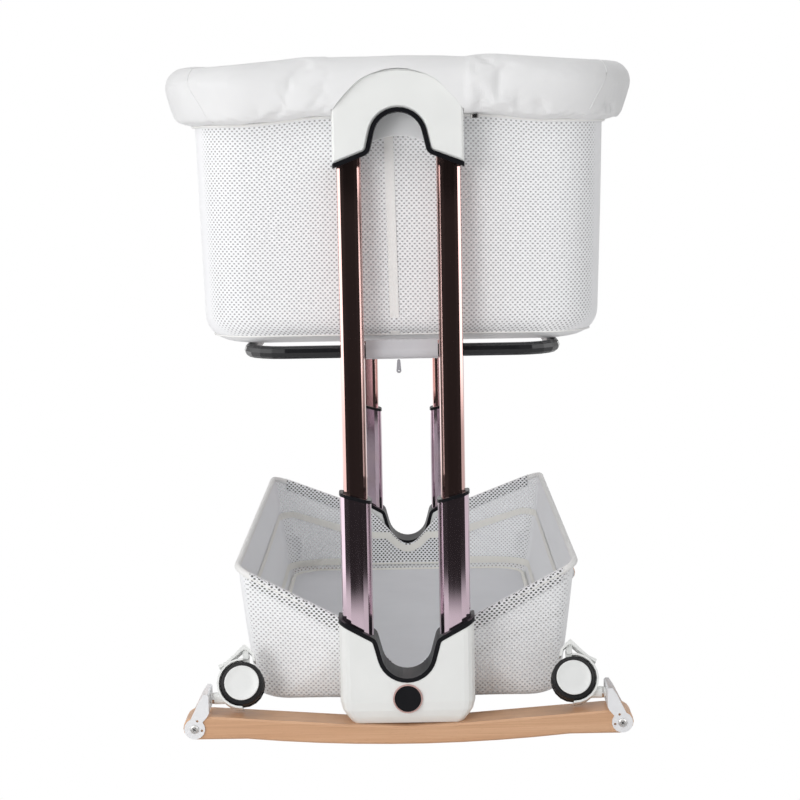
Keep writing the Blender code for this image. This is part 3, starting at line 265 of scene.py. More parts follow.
def net_material(name, color, pitch, hole_share, open_share, hole_painted_shade, relief):
    """Knitted mesh: staggered oval holes over UVs in metres, painted darker as the shade seen in them, and partly
    open; the threads stand proud.
    """
    made, graph = new_material(name, color, 0.8)
    distances = []
    for shift in (0, 0.5):
        place = graph.mapped((1 / pitch, 1 / pitch, 0), "UV", (shift, shift, 0))
        centred = graph.vector("SUBTRACT", graph.vector("FRACTION", place), (0.5, 0.5, 0))
        oval = graph.vector("MULTIPLY", centred, (0.86, 1.18, 0))
        distances.append(graph.vector("LENGTH", oval, output="Value"))
    thread = graph.remap(graph.math("MINIMUM", *distances), 0, 1, hole_share * 0.75, hole_share * 1.15)
    # Seen edge-on, the threads hide the holes
    facing = graph.node("LayerWeight", {"Blend": 0.5}).outputs["Facing"]
    thread = graph.math("MAXIMUM", thread, graph.remap(facing, 0, 1, 0.32, 0.56))
    # The holes are painted darker than the threads: painted shade seen in them
    graph.look({"Base Color": graph.ramp(thread, [(0, darker(color, hole_painted_shade)), (1, color)]),
                "Alpha": graph.remap(thread, 1 - open_share, 1, 0, 1), "Sheen Weight": 0.1})
    graph.bump(thread, relief, 0.0006)
    return made


hub_plastic = plastic("hub_moulding", (0.86, 0.87, 0.86), 0.30)
black_plastic = plastic("black_moulding", (0.010, 0.010, 0.012), 0.34, specular=0.10)
lilac_gold = metal("lilac_gold_anodised", (0.72, 0.57, 0.65), 0.08, (300, 300, 4), 0.002)
pull_metal = plastic("zip_pull_metal", (0.36, 0.36, 0.39), 0.40)
screw_steel = metal("plated_steel", (0.62, 0.61, 0.60), 0.26, 220)
cover_cotton = woven("cover_cotton", (0.84, 0.84, 0.845), 0.92, threads=1100, grain=0.25, sheen=0.1)
# The base cloth is painted whiter than the cover: painted light on the underside, which faces down into shade
base_cotton_painted_light = woven("base_cotton_painted_light", (0.95, 0.95, 0.96), 0.92, threads=1100, grain=0.15, sheen=0.1)
tape_cotton = woven("binding_tape", (0.92, 0.915, 0.90), 0.90, threads=900, grain=0.3)
cream_tape = woven("cream_tape", (0.93, 0.92, 0.87), 0.90, threads=900, grain=0.3)
mattress_cotton = woven("mattress_cotton", (0.84, 0.84, 0.82), 0.92, threads=1000, grain=0.30)
sleeve_cotton = woven("sleeve_cotton", (0.60, 0.60, 0.625), 0.92, threads=1000, grain=0.25)
panel_cloth = woven("panel_cloth", (0.79, 0.80, 0.83), 0.90, threads=1300, grain=0.25)
# Each net's holes are painted darker by the given share, as painted shade in them; the hem's double layer is painted
# almost black
body_net = net_material("body_net", (0.93, 0.935, 0.95), pitch=0.0059, hole_share=0.200, open_share=0.20,
                        hole_painted_shade=0.42, relief=0.06)
basket_net = net_material("basket_net", (0.92, 0.93, 0.945), pitch=0.0062, hole_share=0.190, open_share=0.35,
                          hole_painted_shade=0.58, relief=0.06)
hem_net = net_material("basket_hem_net", (0.92, 0.925, 0.94), pitch=0.0062, hole_share=0.225, open_share=0.10,
                       hole_painted_shade=0.03, relief=0.10)

# CAD nodes that keep their shape get their finish
finish_by_slot = {
    "beech": beech_material(),
    "white_plastic": plastic("white_moulding", (0.85, 0.86, 0.845), 0.34),
    # The paddle's plastic is painted whiter than the housing's: painted light against the shade inside the arch
    "paddle_plastic": plastic("paddle_moulding_painted_light", (0.93, 0.94, 0.95), 0.50),
    "rose_gold": metal("rose_gold_anodised", (0.70, 0.46, 0.43), 0.07, (300, 300, 4), 0.002),
    "rail_steel": metal("drawn_steel", (0.66, 0.66, 0.66), 0.30, 60),
    "black_painted_steel": plastic("black_gloss_paint", (0.008, 0.008, 0.010), 0.24, 0.02),
    "white_painted_steel": plastic("white_powder_coat", (0.85, 0.855, 0.875), 0.30),
    "tyre_rubber": plastic("tyre_rubber_moulded", (0.014, 0.014, 0.015), 0.48, 0.12, 0.25),
    "black_plastic": black_plastic, "screw_steel": screw_steel, "rim_fabric": cover_cotton,
    "mesh_fabric": body_net, "sleeve_fabric": sleeve_cotton, "mattress_fabric": mattress_cotton,
    "grey_panel": panel_cloth}
for entry in frame["record"]["subparts"]:
    finish = finish_by_slot[entry["material_slot"]]
    if entry["node"].startswith("lower_tube"):
        finish = lilac_gold
    if entry["node"] == "zip_pull":
        finish = pull_metal
    for slot in frame["nodes"][entry["node"]].material_slots:
        slot.material = finish


# Meshes

def link(name, data):
    made = bpy.data.objects.new(name, data)
    scene.collection.objects.link(made)
    return made


def link_mesh(name, mesh, material=None):
    data = bpy.data.meshes.new(name)
    mesh.to_mesh(data)
    mesh.free()
    if material:
        data.materials.append(material)
    return link(name, data)


def loft(name, rings, material, body, closed_path=False, caps=False, closed_ring=True, end_cap=False):
    """Surface through rings of points, with UVs in metres: U round the ring and V along the path."""
    mesh = bmesh.new()
    layer = mesh.loops.layers.uv.new("UVMap")
    loops = [[mesh.verts.new(point) for point in ring] for ring in rings]
    count = len(rings[0])
    middle = rings[len(rings) // 2]
    around = [0.0]
    for point, following in zip(middle, middle[1:] + middle[:1]):
        around.append(around[-1] + (following - point).length)
    down = [0.0]
    for low, high in zip(rings, rings[1:] + rings[:1]):
        down.append(down[-1] + sum((a - b).length for a, b in zip(low, high)) / count)
    for level in range(len(rings) if closed_path else len(rings) - 1):
        low = loops[level]
        high = loops[(level + 1) % len(loops)]
        for index in range(count if closed_ring else count - 1):
            following = (index + 1) % count
            face = mesh.faces.new((low[index], low[following], high[following], high[index]))
            places = ((around[index], down[level]), (around[index + 1], down[level]),
                      (around[index + 1], down[level + 1]), (around[index], down[level + 1]))
            for corner, place in zip(face.loops, places):
                corner[layer].uv = place
    flat_ends = [loops[0][::-1]] if caps else []
    if caps or end_cap:
        flat_ends.append(loops[-1])
    for ring in flat_ends:
        for corner in mesh.faces.new(ring).loops:
            corner[layer].uv = (corner.vert.co.x, corner.vert.co.y)
    for face in mesh.faces:
        face.smooth = True
    made = link_mesh(name, mesh, material)
    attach(made, body)
    if caps or closed_path:
        tidy_normals(made)
    return made


def tidy_normals(piece, centre=None):
    """Faces that agree with each other, and on open cloth look away from a centre."""
    mesh = bmesh.new()
    mesh.from_mesh(piece.data)
    bmesh.ops.recalc_face_normals(mesh, faces=mesh.faces)
    if centre is not None:
        score = sum((face.calc_center_median() - centre).dot(face.normal) * face.calc_area() for face in mesh.faces)
        if score < 0:
            bmesh.ops.reverse_faces(mesh, faces=mesh.faces)
    mesh.to_mesh(piece.data)
    mesh.free()


def tube(name, route, radius, material, body, closed=False, sides=8, flat=1.0):
    """Round or flattened cord along a route of points."""
    rings = []
    last = len(route) - 1
    for index, point in enumerate(route):
        before = route[index - 1] if closed or index else point
        after = route[(index + 1) % len(route)] if closed or index < last else point
        along = (after - before).normalized()
        level = Vector((0, 0, 1)) if abs(along.z) < 0.9 else Vector((0, 1, 0))
        across = along.cross(level).normalized()
        upward = across.cross(along)
        rings.append([point + across * radius * flat * cos(angle) + upward * radius * sin(angle)
                      for angle in (tau * share for share in shares(sides))])
    made = loft(name, rings, material, body, closed_path=closed, caps=not closed)


def make_sheet(name, rings, material, body, slot, rests_on, centre, softness=None, replaces=None, **shape):
    """An open cloth piece, whose outer side looks away from a centre, with UVs in metres."""
    piece = loft(name, rings, material, body, **shape)
    if softness:
        soften(piece, *softness)
    tidy_normals(piece, Vector(centre))
    if replaces:
        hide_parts(replaces)
    return piece


def box_uvs(piece):
    """UVs in metres, each face seen along its main direction."""
    uvs = piece.data.uv_layers.active or piece.data.uv_layers.new(name="cloth")
    for face in piece.data.polygons:
        main = max(range(3), key=lambda axis: abs(face.normal[axis]))
        first, second = [axis for axis in range(3) if axis != main]
        for loop in face.loop_indices:
            place = piece.data.vertices[piece.data.loops[loop].vertex_index].co
            uvs.data[loop].uv = (place[first], place[second])


def apply_modifiers(piece):
    graph = bpy.context.evaluated_depsgraph_get()
    baked = bpy.data.meshes.new_from_object(piece.evaluated_get(graph), depsgraph=graph)
    piece.modifiers.clear()
    old = piece.data
    piece.data = baked
    bpy.data.meshes.remove(old)


def soften(piece, reach, seed):
    """Slow unevenness along each vertex's normal, for stretched cloth."""
    for vertex in piece.data.vertices:
        shift = noise.noise(vertex.co * 7 + Vector((seed, 0, 0)))
        shift += 0.5 * noise.noise((vertex.co.x * 30, vertex.co.y * 30, vertex.co.z * 4 + seed))
        vertex.co -= vertex.normal * reach * max(shift, -0.2)


def ripple(piece, above, height, pitch, seed):
    """Slow unevenness of a pad's upper side."""
    for vertex in piece.data.vertices:
        if vertex.co.z > above:
            vertex.co.z += height * noise.noise((vertex.co.x * pitch, vertex.co.y * pitch, seed))


def shares(count):
    return [index / count for index in range(count)]


def smooth_step(low, high, value):
    share = min(max((value - low) / (high - low), 0), 1)
    return share * share * (3 - 2 * share)


def plan_loop(half_x, half_y, corner, step):
    """Points round a rounded rectangle with their outward directions and their run from the start."""
    loop = []
    run = 0.0
    arc = corner * pi / 2
    for sign_x, sign_y, start in ((1, 1, 0), (-1, 1, 1), (-1, -1, 2), (1, -1, 3)):
        centre = Vector((sign_x * (half_x - corner), sign_y * (half_y - corner), 0))
        for share in shares(max(4, round(arc / step))):
            angle = pi / 2 * (start + share)
            outward = Vector((cos(angle), sin(angle), 0))
            loop.append((centre + outward * corner, outward, run + arc * share))
        run += arc
        span = 2 * ((half_y if start % 2 else half_x) - corner)
        angle = pi / 2 * (start + 1)
        outward = Vector((round(cos(angle)), round(sin(angle)), 0))
        ahead = Vector((-outward.y, outward.x, 0))
        for share in shares(max(1, round(span / step))):
            loop.append((centre + outward * corner + ahead * span * share, outward, run + span * share))
        run += span
    return loop


def drawn_in(half_x, half_y, corner, step, shrink, level):
    """A rounded rectangle drawn in on all sides; a function of the point may give its height."""
    height = level if callable(level) else lambda point: level
    return [Vector((point.x * (1 - shrink / half_x), point.y * (1 - shrink / half_y), height(point)))
            for point, outward, run in plan_loop(half_x, half_y, corner, step)]


# Rim cover

cover_step = 0.005
slack_height = 0.0011
fold_height = 0.0016
fine_height = 0.0006
housing_fold_height = 0.0010
cover_lift_limit = 0.0016
crown_clearance = 0.0005
flap_half_x = 0.0785
cut_low_z = 0.69
flap_depth = 0.06
seam_radius = 0.0005
seam_lift = 0.0002
# The seam runs over the cover's section from this angle, by this much, and leans towards the side as it rises
seam_start = -1.25
seam_sweep = 4.1
seam_lean = 0.72
seam_lean_gain = 0.14


def pad_droop_share(x):
    return smooth_step(pad_droop_start_x, pad_droop_end_x, abs(x))


def pad_bottom_z(x):
    return rim_z - pad_bottom_height - pad_droop * pad_droop_share(x)


def section_arc(centre, radius, quarter, steps):
    """A quarter circle, without its last point."""
    angles = [pi / 2 * (quarter + share) for share in shares(steps)]
    return [(centre[0] + radius * cos(angle), centre[1] + radius * sin(angle)) for angle in angles]


def cover_section(x):
    """Section of the padded rim, outwards and up from the rim tube, from the outer bottom round over the top."""
    droop = pad_droop_share(x)
    depth = pad_bottom_height + pad_droop * droop
    outer = pad_half_width - pad_outer_corner - pad_lean * droop
    top = pad_half_width - pad_top_corner
    rise = pad_crown_rise * (1 - smooth_step(0, pad_crown_reach, abs(x)))
    crown = pad_top_height + rise - pad_top_corner
    inner = pad_inner_corner - pad_half_width
    section = section_arc((outer, pad_outer_corner - depth), pad_outer_corner, -1, 6)
    section += section_arc((top, crown), pad_top_corner, 0, 7)
    section += section_arc((-top, crown), pad_top_corner, 1, 7)
    section += section_arc((inner, pad_inner_corner - depth), pad_inner_corner, 2, 4)
    section += [(inner + (outer - inner) * share, -depth) for share in (0, 0.33, 0.66)]
    return section


def cover_point(point, outward, run, across, up):
    """Puckers along the hem and slow slack folds, in metres off the plain section."""
    angle = atan2(up, across)
    hem = smooth_step(-0.2, -1.1, angle) if angle < 0 else 0
    if angle < -2.2:
        hem *= 0.4
    fold = noise.noise((run * 26, angle * 0.9, 3.1))
    slack = noise.noise((run * 9, angle * 1.6, 8.7))
    fine = noise.noise((run * 70, angle * 2.6, 1.3))
    housing = smooth_step(0.15, 0.085, abs(point.x)) * smooth_step(0.35, 0.41, abs(point.y))
    lift = slack_height * slack + fold_height * fold * (0.25 + hem) + fine_height * fine * (0.4 + hem)
    lift += housing_fold_height * fold * housing
    grow = 1 + min(lift, cover_lift_limit) / hypot(across, up)
    return point + outward * across * grow + Vector((0, 0, rim_z + up * grow))


def make_rim_cover():
    rings = []
    for point, outward, place in plan_loop(rim_half_x, column_half_y, rim_corner, cover_step):
        rings.append([cover_point(point, outward, place, across, up) for across, up in cover_section(point.x)])
    cover = loft("rim_cover", rings, cover_cotton, "bassinet", closed_path=True)
    billow(cover, cover_is_held, voxel=0.0055, furthest=0.0040)
    cut_for_housings(cover)
    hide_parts("rim_pad")
    return cover


def cover_is_held(place):
    """The cover is sewn down along its underside, and lies tight on the housings."""
    underside = place.z < pad_bottom_z(place.x) + 0.0035
    housing = abs(place.x) < crown_half_x + 0.004 and abs(place.y) > column_half_y - crown_half_y
    return underside or housing


def billow(piece, is_held, voxel, furthest, frames=20):
    """Swells a closed padded piece with Blender's cloth where it isn't held, and limits how far each point moves."""
    remesh = piece.modifiers.new("remesh", "REMESH")
    remesh.mode = "VOXEL"
    remesh.voxel_size = voxel
    apply_modifiers(piece)
    start = [vertex.co.copy() for vertex in piece.data.vertices]
    group = piece.vertex_groups.new(name="held")
    group.add([index for index, place in enumerate(start) if is_held(place)], 1.0, "REPLACE")
    cloth = piece.modifiers.new("cloth", "CLOTH")
    settings = dict(quality=4, mass=0.3, bending_stiffness=0.5, use_pressure=True, uniform_pressure_force=4,
                    shrink_min=-0.055, vertex_group_mass="held")
    for key, value in settings.items():
        setattr(cloth.settings, key, value)
    cloth.settings.effector_weights.gravity = 0
    cloth.collision_settings.use_collision = False
    for step in range(1, frames + 1):
        scene.frame_set(step)
    apply_modifiers(piece)
    scene.frame_set(1)
    for vertex, place in zip(piece.data.vertices, start):
        move = vertex.co - place
        if move.length > furthest:
            vertex.co = place + move.normalized() * furthest
    finer = piece.modifiers.new("finer", "SUBSURF")
    finer.levels = 1
    apply_modifiers(piece)
    box_uvs(piece)
    tidy_normals(piece)


def crown_outline():
    """The top housing's outline over the rim, with a little clearance."""
    half_x = crown_half_x + crown_clearance
    rise = crown_rise + crown_clearance
    angles = [pi * share for share in shares(28) + [1]]
    arch = [(half_x * cos(angle), crown_spring_z + rise * sin(angle)) for angle in angles]
    return arch + [(-half_x, cut_low_z), (half_x, cut_low_z)]


def flap_outline():
    """The front flap's hem: straight up from each side of the housing, then round over its crown."""
    half = [(flap_half_x, 0.7600), (0.0700, 0.7718), (0.0600, 0.7832), (0.0510, 0.7922), (0.0440, 0.7982),
            (0.0360, 0.8024), (0.0250, 0.8066), (0.0130, 0.8098), (0.0, 0.8109)]
    hem = half + [(-x, z) for x, z in reversed(half[:-1])]
    return hem + [(-flap_half_x, cut_low_z), (flap_half_x, cut_low_z)]


def cut_for_housings(cover):
    """The cover lies over the housing, and its front flap laps over the shoulders of the housing's face."""
    for end in ends.values():
        for outline, back, front in ((crown_outline(), crown_half_y + 0.0011, -crown_half_y - 0.0005),
                                     (flap_outline(), -crown_half_y - 0.0003, -flap_depth)):
            mesh = bmesh.new()
            first, second = [[mesh.verts.new((x * -end, end * (column_half_y - depth), z)) for x, z in outline]
                             for depth in (back, front)]
            for index in range(len(outline)):
                following = (index + 1) % len(outline)
                mesh.faces.new((first[index], first[following], second[following], second[index]))
            mesh.faces.new(first[::-1])
            mesh.faces.new(second)
            bmesh.ops.recalc_face_normals(mesh, faces=mesh.faces)
            tool = link_mesh("cover_cut", mesh)
            cut = cover.modifiers.new("cut", "BOOLEAN")
            cut.operation = "DIFFERENCE"
            cut.solver = "EXACT"
            cut.object = tool
            apply_modifiers(cover)
            bpy.data.objects.remove(tool)


def make_cover_seams(cover):
    """Stitched seams where the end pieces of the cover meet the side pieces, laid on its surface."""
    surface = BVHTree.FromPolygons([vertex.co for vertex in cover.data.vertices],
                                   [face.vertices for face in cover.data.polygons])
    for end_label, end in (("a", -1), ("b", 1)):
        for side_label, side in (("a", -1), ("b", 1)):
            route = []
            centre = Vector((side * (rim_half_x - rim_corner), end * (column_half_y - rim_corner), 0))
            for share in shares(30) + [1]:
                turn = seam_start + share * seam_sweep
                angle = pi / 2 - seam_lean - seam_lean_gain * min(turn, pi / 2)
                outward = Vector((side * cos(angle), end * sin(angle), 0))
                point = centre + outward * rim_corner
                across, up = section_ray(point.x, turn)
                seat, normal, face, gap = surface.find_nearest(point + outward * across + Vector((0, 0, rim_z + up)))
                route.append(seat + normal * seam_lift)
            tube(f"cover_seam_{end_label}_{side_label}", route, seam_radius, cover_cotton, "bassinet", sides=6)


def section_ray(x, turn):
    """Where a ray from the rim tube's centre leaves the cover's section."""
    section = [Vector(place) for place in cover_section(x)]
    furthest = 0
    direction = Vector((cos(turn), sin(turn)))
    for first, second in zip(section, section[1:] + section[:1]):
        edge = second - first
        cross = direction.cross(edge)
        if abs(cross) < 1e-12:
            continue
        if -0.001 <= first.cross(direction) / cross <= 1.001:
            furthest = max(furthest, first.cross(edge) / cross)
    return direction * furthest


# Mesh body of the bassinet

body_inset = 0.0006
# Here the net ends and the base cloth begins, with piping over the seam
net_low_z = 0.4935
net_low_turn = asin((body_round_top - net_low_z) / body_bottom_round)
base_piping_radius = 0.0011
top_piping_radius = 0.0019
piping_step = 0.008
webbing_top_z = 0.7635
webbing_half_width = 0.0055
webbing_lean_x = {"near": (-0.0118, -0.0078), "far": (0, 0)}


def body_ring(shrink, level, step=cloth_step):
    return drawn_in(body_half_x, body_half_y, body_corner, step, shrink, level)


def round_ring(turn, out=0.0, step=cloth_step):
    """A ring where the body's wall has turned by an angle towards the floor."""
    shrink = body_inset + body_taper + body_bottom_round * (1 - cos(turn)) - out
    return body_ring(shrink, body_round_top - body_bottom_round * sin(turn) + body_inset, step)


def make_body_net():
    rings = []
    for share in (0, 0.08, 0.2, 0.34, 0.48, 0.62, 0.76, 0.9, 1):
        rings.append(body_ring(body_inset + body_taper * share, lambda point: (
            (pad_bottom_z(point.x) + 0.004) * (1 - share) + body_round_top * share)))
    rings += [round_ring(net_low_turn * share) for share in (0.25, 0.5, 0.75, 1)]
    make_sheet("body_net_wall", rings, body_net, "bassinet", "mesh_fabric", ["rim_tube_left", "rim_tube_right"],
               (0, 0, 0.62), softness=(0.0008, 11), replaces="mesh_body")
    skirt = [round_ring(net_low_turn, 0.0004)]
    skirt += [round_ring(net_low_turn + (pi / 2 - net_low_turn) * share) for share in (0.25, 0.5, 0.75, 1)]
    skirt += [body_ring(shrink, body_floor_z + body_inset) for shrink in (0.075, 0.13, 0.19, 0.235)]
    make_sheet("body_base_cloth", skirt, base_cotton_painted_light, "bassinet", "mesh_fabric", ["bottom_frame"], (0, 0, 0.6),
               end_cap=True)
    seam = round_ring(net_low_turn, 0.0010, piping_step)
    hem = body_ring(-0.0010, lambda point: pad_bottom_z(point.x) - 0.0012, piping_step)
    for name, route, radius in (("body_base_piping", seam, base_piping_radius),
                                ("body_top_piping", hem, top_piping_radius)):
        tube(name, route, radius, tape_cotton, "bassinet", closed=True)


def make_webbing():
    """Vertical webbing down the middle of each end panel; the near one leans a little, as in the photo."""
    for name, end in ends.items():
        top_x, low_x = webbing_lean_x[name]
        rings = []
        for share in (0, 0.15, 0.3, 0.45, 0.6, 0.75, 0.9, 1):
            level = (pad_bottom_z(0) - 0.001) * (1 - share) + (body_floor_z + 0.010) * share
            drop = max(body_round_top - level, 0)
            draw = body_taper * min((webbing_top_z - level) / (webbing_top_z - body_round_top), 1)
            draw += body_bottom_round - sqrt(max(body_bottom_round ** 2 - drop ** 2, 0))
            y = end * (body_half_y - draw + 0.0008)
            centre_x = top_x + (low_x - top_x) * share
            rings.append([Vector((centre_x + webbing_half_width * place * end, y, level))
                          for place in (-1, -0.6, 0, 0.6, 1)])
        make_sheet(f"end_webbing_{name}", rings, tape_cotton, "bassinet", "rim_fabric", ["body_net_wall"],
                   (0, 0, 0.6), closed_ring=False)


# Mattress

def make_mattress():
    plan = (mattress_half_x, mattress_half_y, mattress_corner, cloth_step)
    floor_gap = 0.0024
    base = body_floor_z + floor_gap
    top = base + mattress_height + 0.001
    rings = []
    for share, shrink in ((0.0, 0.020), (0.05, 0.012), (0.18, 0.004), (0.35, 0.001), (0.55, 0.0), (0.72, 0.001),
                          (0.86, 0.0045), (0.96, 0.012), (1.0, 0.022)):
        rings.append(drawn_in(*plan, shrink, base + (top - base) * share))
    for share in (0.2, 0.4, 0.6, 0.8, 0.97):
        height = top + mattress_crown * 0.8 * sin(share * pi / 2)
        size = (1 - share) * 0.93
        rings.append([Vector((point.x * size, point.y * size, height)) for point, outward, run in plan_loop(*plan)])
    pad = loft("mattress_pad", rings, mattress_cotton, "bassinet", caps=True)
    ripple(pad, above=base + 0.02, height=0.0009, pitch=16, seed=2)
    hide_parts("mattress")
    inset, radius = 0.0055, 0.0016
    for level, name in ((0.10, "low"), (0.90, "high")):
        route = drawn_in(mattress_half_x - inset, mattress_half_y - inset, mattress_corner - 0.004, cord_step, 0,
                         base + mattress_height * level)
        tube(f"mattress_piping_{name}", route, radius, tape_cotton, "bassinet", closed=True)


# Sleeves that hold the bottom frame to the body

def make_frame_sleeves():
    centre_z = body_floor_z - 0.0003 - frame_tube_radius
    cloth_gap = 0.0013
    tab_height = 0.0075
    for name, end in ends.items():
        rings = []
        for share in shares(18) + [1]:
            x = sleeve_half_length * (2 * share - 1)
            ring = []
            for step in range(21):
                angle = radians(140 + 13 * step)
                slack = 1.0 + 0.06 * noise.noise((x * 60, step * 0.4, end))
                radius = frame_tube_radius + cloth_gap + 0.0006 * slack
                ring.append(Vector((x, end * (frame_half_y + radius * cos(angle)),
                                    centre_z + radius * sin(angle))))
            for inward in (0.0012, 0.0020):
                ring.append(ring[-1] + Vector((0, -end * inward, tab_height / 2)))
            rings.append(ring)
        make_sheet(f"frame_band_{name}", rings, sleeve_cotton, "bassinet", "sleeve_fabric", ["bottom_frame"],
                   (0, end * frame_half_y, centre_z), replaces=f"frame_sleeve_{name}", closed_ring=False)


# Basket

rails = ["basket_rail_left", "basket_rail_right"]
basket_inset = 0.0009
# The inner tape's top edge: its height in the middle of an end and its slope there, and the same towards the side
tape_middle_z, tape_middle_slope = 0.0945, 0.127
tape_side_z, tape_side_slope = 0.0860, 0.30
tape_width = 0.0100
tape_top_z = 0.1420
end_tape_half_width = 0.0055
foot_tape_top = 0.0108
foot_tape_bottom = 0.0004
hem_turn_radius = 0.0015
hem_gap_outside = 0.0010
hem_gap_inside = 0.0014
side_hem_thickness = 0.0011


def basket_rim_z(x):
    reach = abs(x)
    if reach > rail_end_x:
        share = (rail_half_x - reach) / (rail_half_x - rail_end_x)
        return rail_z + (rail_end_z - rail_z) * max(share, 0)
    return basket_dip_z + (rail_end_z - basket_dip_z) * smooth_step(0, rail_end_x, reach)


def wall_height(x):
    """Height of the basket's wall, from the floor's round edge to the underside of the rail."""
    return basket_rim_z(x) - rail_radius - basket_low_z


def basket_stations(draw_in=0.0):
    """Rim points and matching floor points round the basket, counter-clockwise."""
    core = Vector((basket_floor_half_x - basket_floor_corner, basket_floor_half_y - basket_floor_corner))
    radius = basket_floor_corner - draw_in
    corner = Vector((rail_half_x, rail_corner_y))
    end = Vector((rail_end_x, rail_plane_y))
    before = corner - Vector((0, rail_corner_radius))
    after = corner + (end - corner).normalized() * rail_corner_radius
    bend = radians(38)

    def floor_corner(turn):
        return core + radius * Vector((cos(turn), sin(turn)))

    quarter = [(Vector((rail_half_x, before.y * share)), Vector((core.x + radius, core.y * share)))
               for share in shares(24)]
    quarter += [(before.lerp(corner, share).lerp(corner.lerp(after, share), share), floor_corner(bend * share))
                for share in shares(6)]
    quarter += [(after.lerp(end, share), floor_corner(bend + (pi / 2 - bend) * share)) for share in shares(12)]
    quarter += [(Vector((rail_end_x * (1 - share), rail_plane_y)), Vector((core.x * (1 - share), core.y + radius)))
                for share in shares(9) + [1]]

    def mirrored(pairs, x, y):
        return [(Vector((rim.x * x, rim.y * y)), Vector((low.x * x, low.y * y))) for rim, low in reversed(pairs)]

    half = quarter + mirrored(quarter[:-1], -1, 1)
    return half + mirrored(half[1:-1], 1, -1)


def basket_point(rim, low, share, inset=basket_inset):
    """A point of the basket's wall, from 0 at the floor to 1 at the rail."""
    spot = low.lerp(rim, share ** basket_bulge_power)
    spot -= spot.normalized() * inset
    return Vector((spot.x, spot.y, basket_low_z + (wall_height(rim.x) - 0.0003) * share))


def make_basket():
    stations = basket_stations()
    floor_level = basket_floor_z + basket_inset
    rings = []
    for share in (1, 0.93, 0.84, 0.73, 0.62, 0.5, 0.38, 0.26, 0.14, 0.05):
        rings.append([basket_point(rim, low, share) for rim, low in stations])
    for angle in map(radians, (20, 50, 80)):
        height = floor_level + basket_bottom_round * (1 - sin(angle))
        rings.append([Vector((low.x, low.y, height))
                      for rim, low in basket_stations(basket_bottom_round * (1 - cos(angle)))])
    for share in (1, 0.7, 0.4, 0.1):
        rings.append([Vector((low.x * share, low.y * share, floor_level))
                      for rim, low in basket_stations(basket_bottom_round)])
    net = make_sheet("basket_net_bag", rings, basket_net, "base", "mesh_fabric", rails, (0, 0, 0.15),
                     softness=(0.0010, 23), replaces="basket_mesh", end_cap=True)
    box_uvs(net)
    make_inner_tapes(stations)
    make_side_hems(stations)
    for name, end in ends.items():
        make_end_hem(name, end, stations)
        make_end_tape(name, end)


def inner_tape_point(rim, low, width):
    """The tape rises from the middle of each end to the sides, where it runs level, and stays below the rail."""
    reach = abs(rim.x)
    level = max(tape_middle_z + tape_middle_slope * reach, tape_side_z + tape_side_slope * reach)
    level = min(level, tape_top_z, basket_low_z + wall_height(reach) - 0.0005) - width
    inset = 0.0021 + 0.0011 * (1 - smooth_step(0.060, 0.070, reach))
    return basket_point(rim, low, (level - basket_low_z) / wall_height(reach), inset)


def make_inner_tapes(stations):
    """Cream tape round inside the wall, and another at its foot."""
    inner = [[inner_tape_point(rim, low, width) for rim, low in stations] for width in (0, tape_width)]
    foot = [[basket_point(rim, low, level / wall_height(rim.x), 0.0018) for rim, low in stations]
            for level in (foot_tape_top, foot_tape_bottom)]
    for name, rows in (("basket_inner_tape", inner), ("basket_foot_tape", foot)):
        make_sheet(name, rows, cream_tape, "base", "mesh_fabric", ["basket_net_bag"], (0, 0, 0.5))


def make_side_hems(stations):
    """Hems rolled round the two rails."""
    for name, side in sides.items():
        route = [Vector((rim.x, rim.y, basket_rim_z(rim.x))) for rim, low in stations
                 if side * rim.x > rail_end_x + 0.001]
        start = max(range(len(route)), key=lambda index: (route[index] - route[index - 1]).length)
        route = route[start:] + route[:start]
        radius = rail_radius + side_hem_thickness
        tube(f"basket_hem_{name}", route, radius, tape_cotton, "base", sides=10)


def make_end_tape(name, end):
    """Narrow tape down the middle of an end, inside."""
    rim = Vector((0, end * rail_plane_y))
    low = Vector((0, end * basket_floor_half_y))
    strip = [[basket_point(rim, low, share, 0.0024) + Vector((place * end * end_tape_half_width, 0, 0))
              for place in (-1, 0, 1)]
             for share in (0.96, 0.7, 0.45, 0.2, 0.02)]
    make_sheet(f"basket_end_tape_{name}", strip, tape_cotton, "base", "mesh_fabric", ["basket_net_bag"],
               (0, 0, 0.1), closed_ring=False)


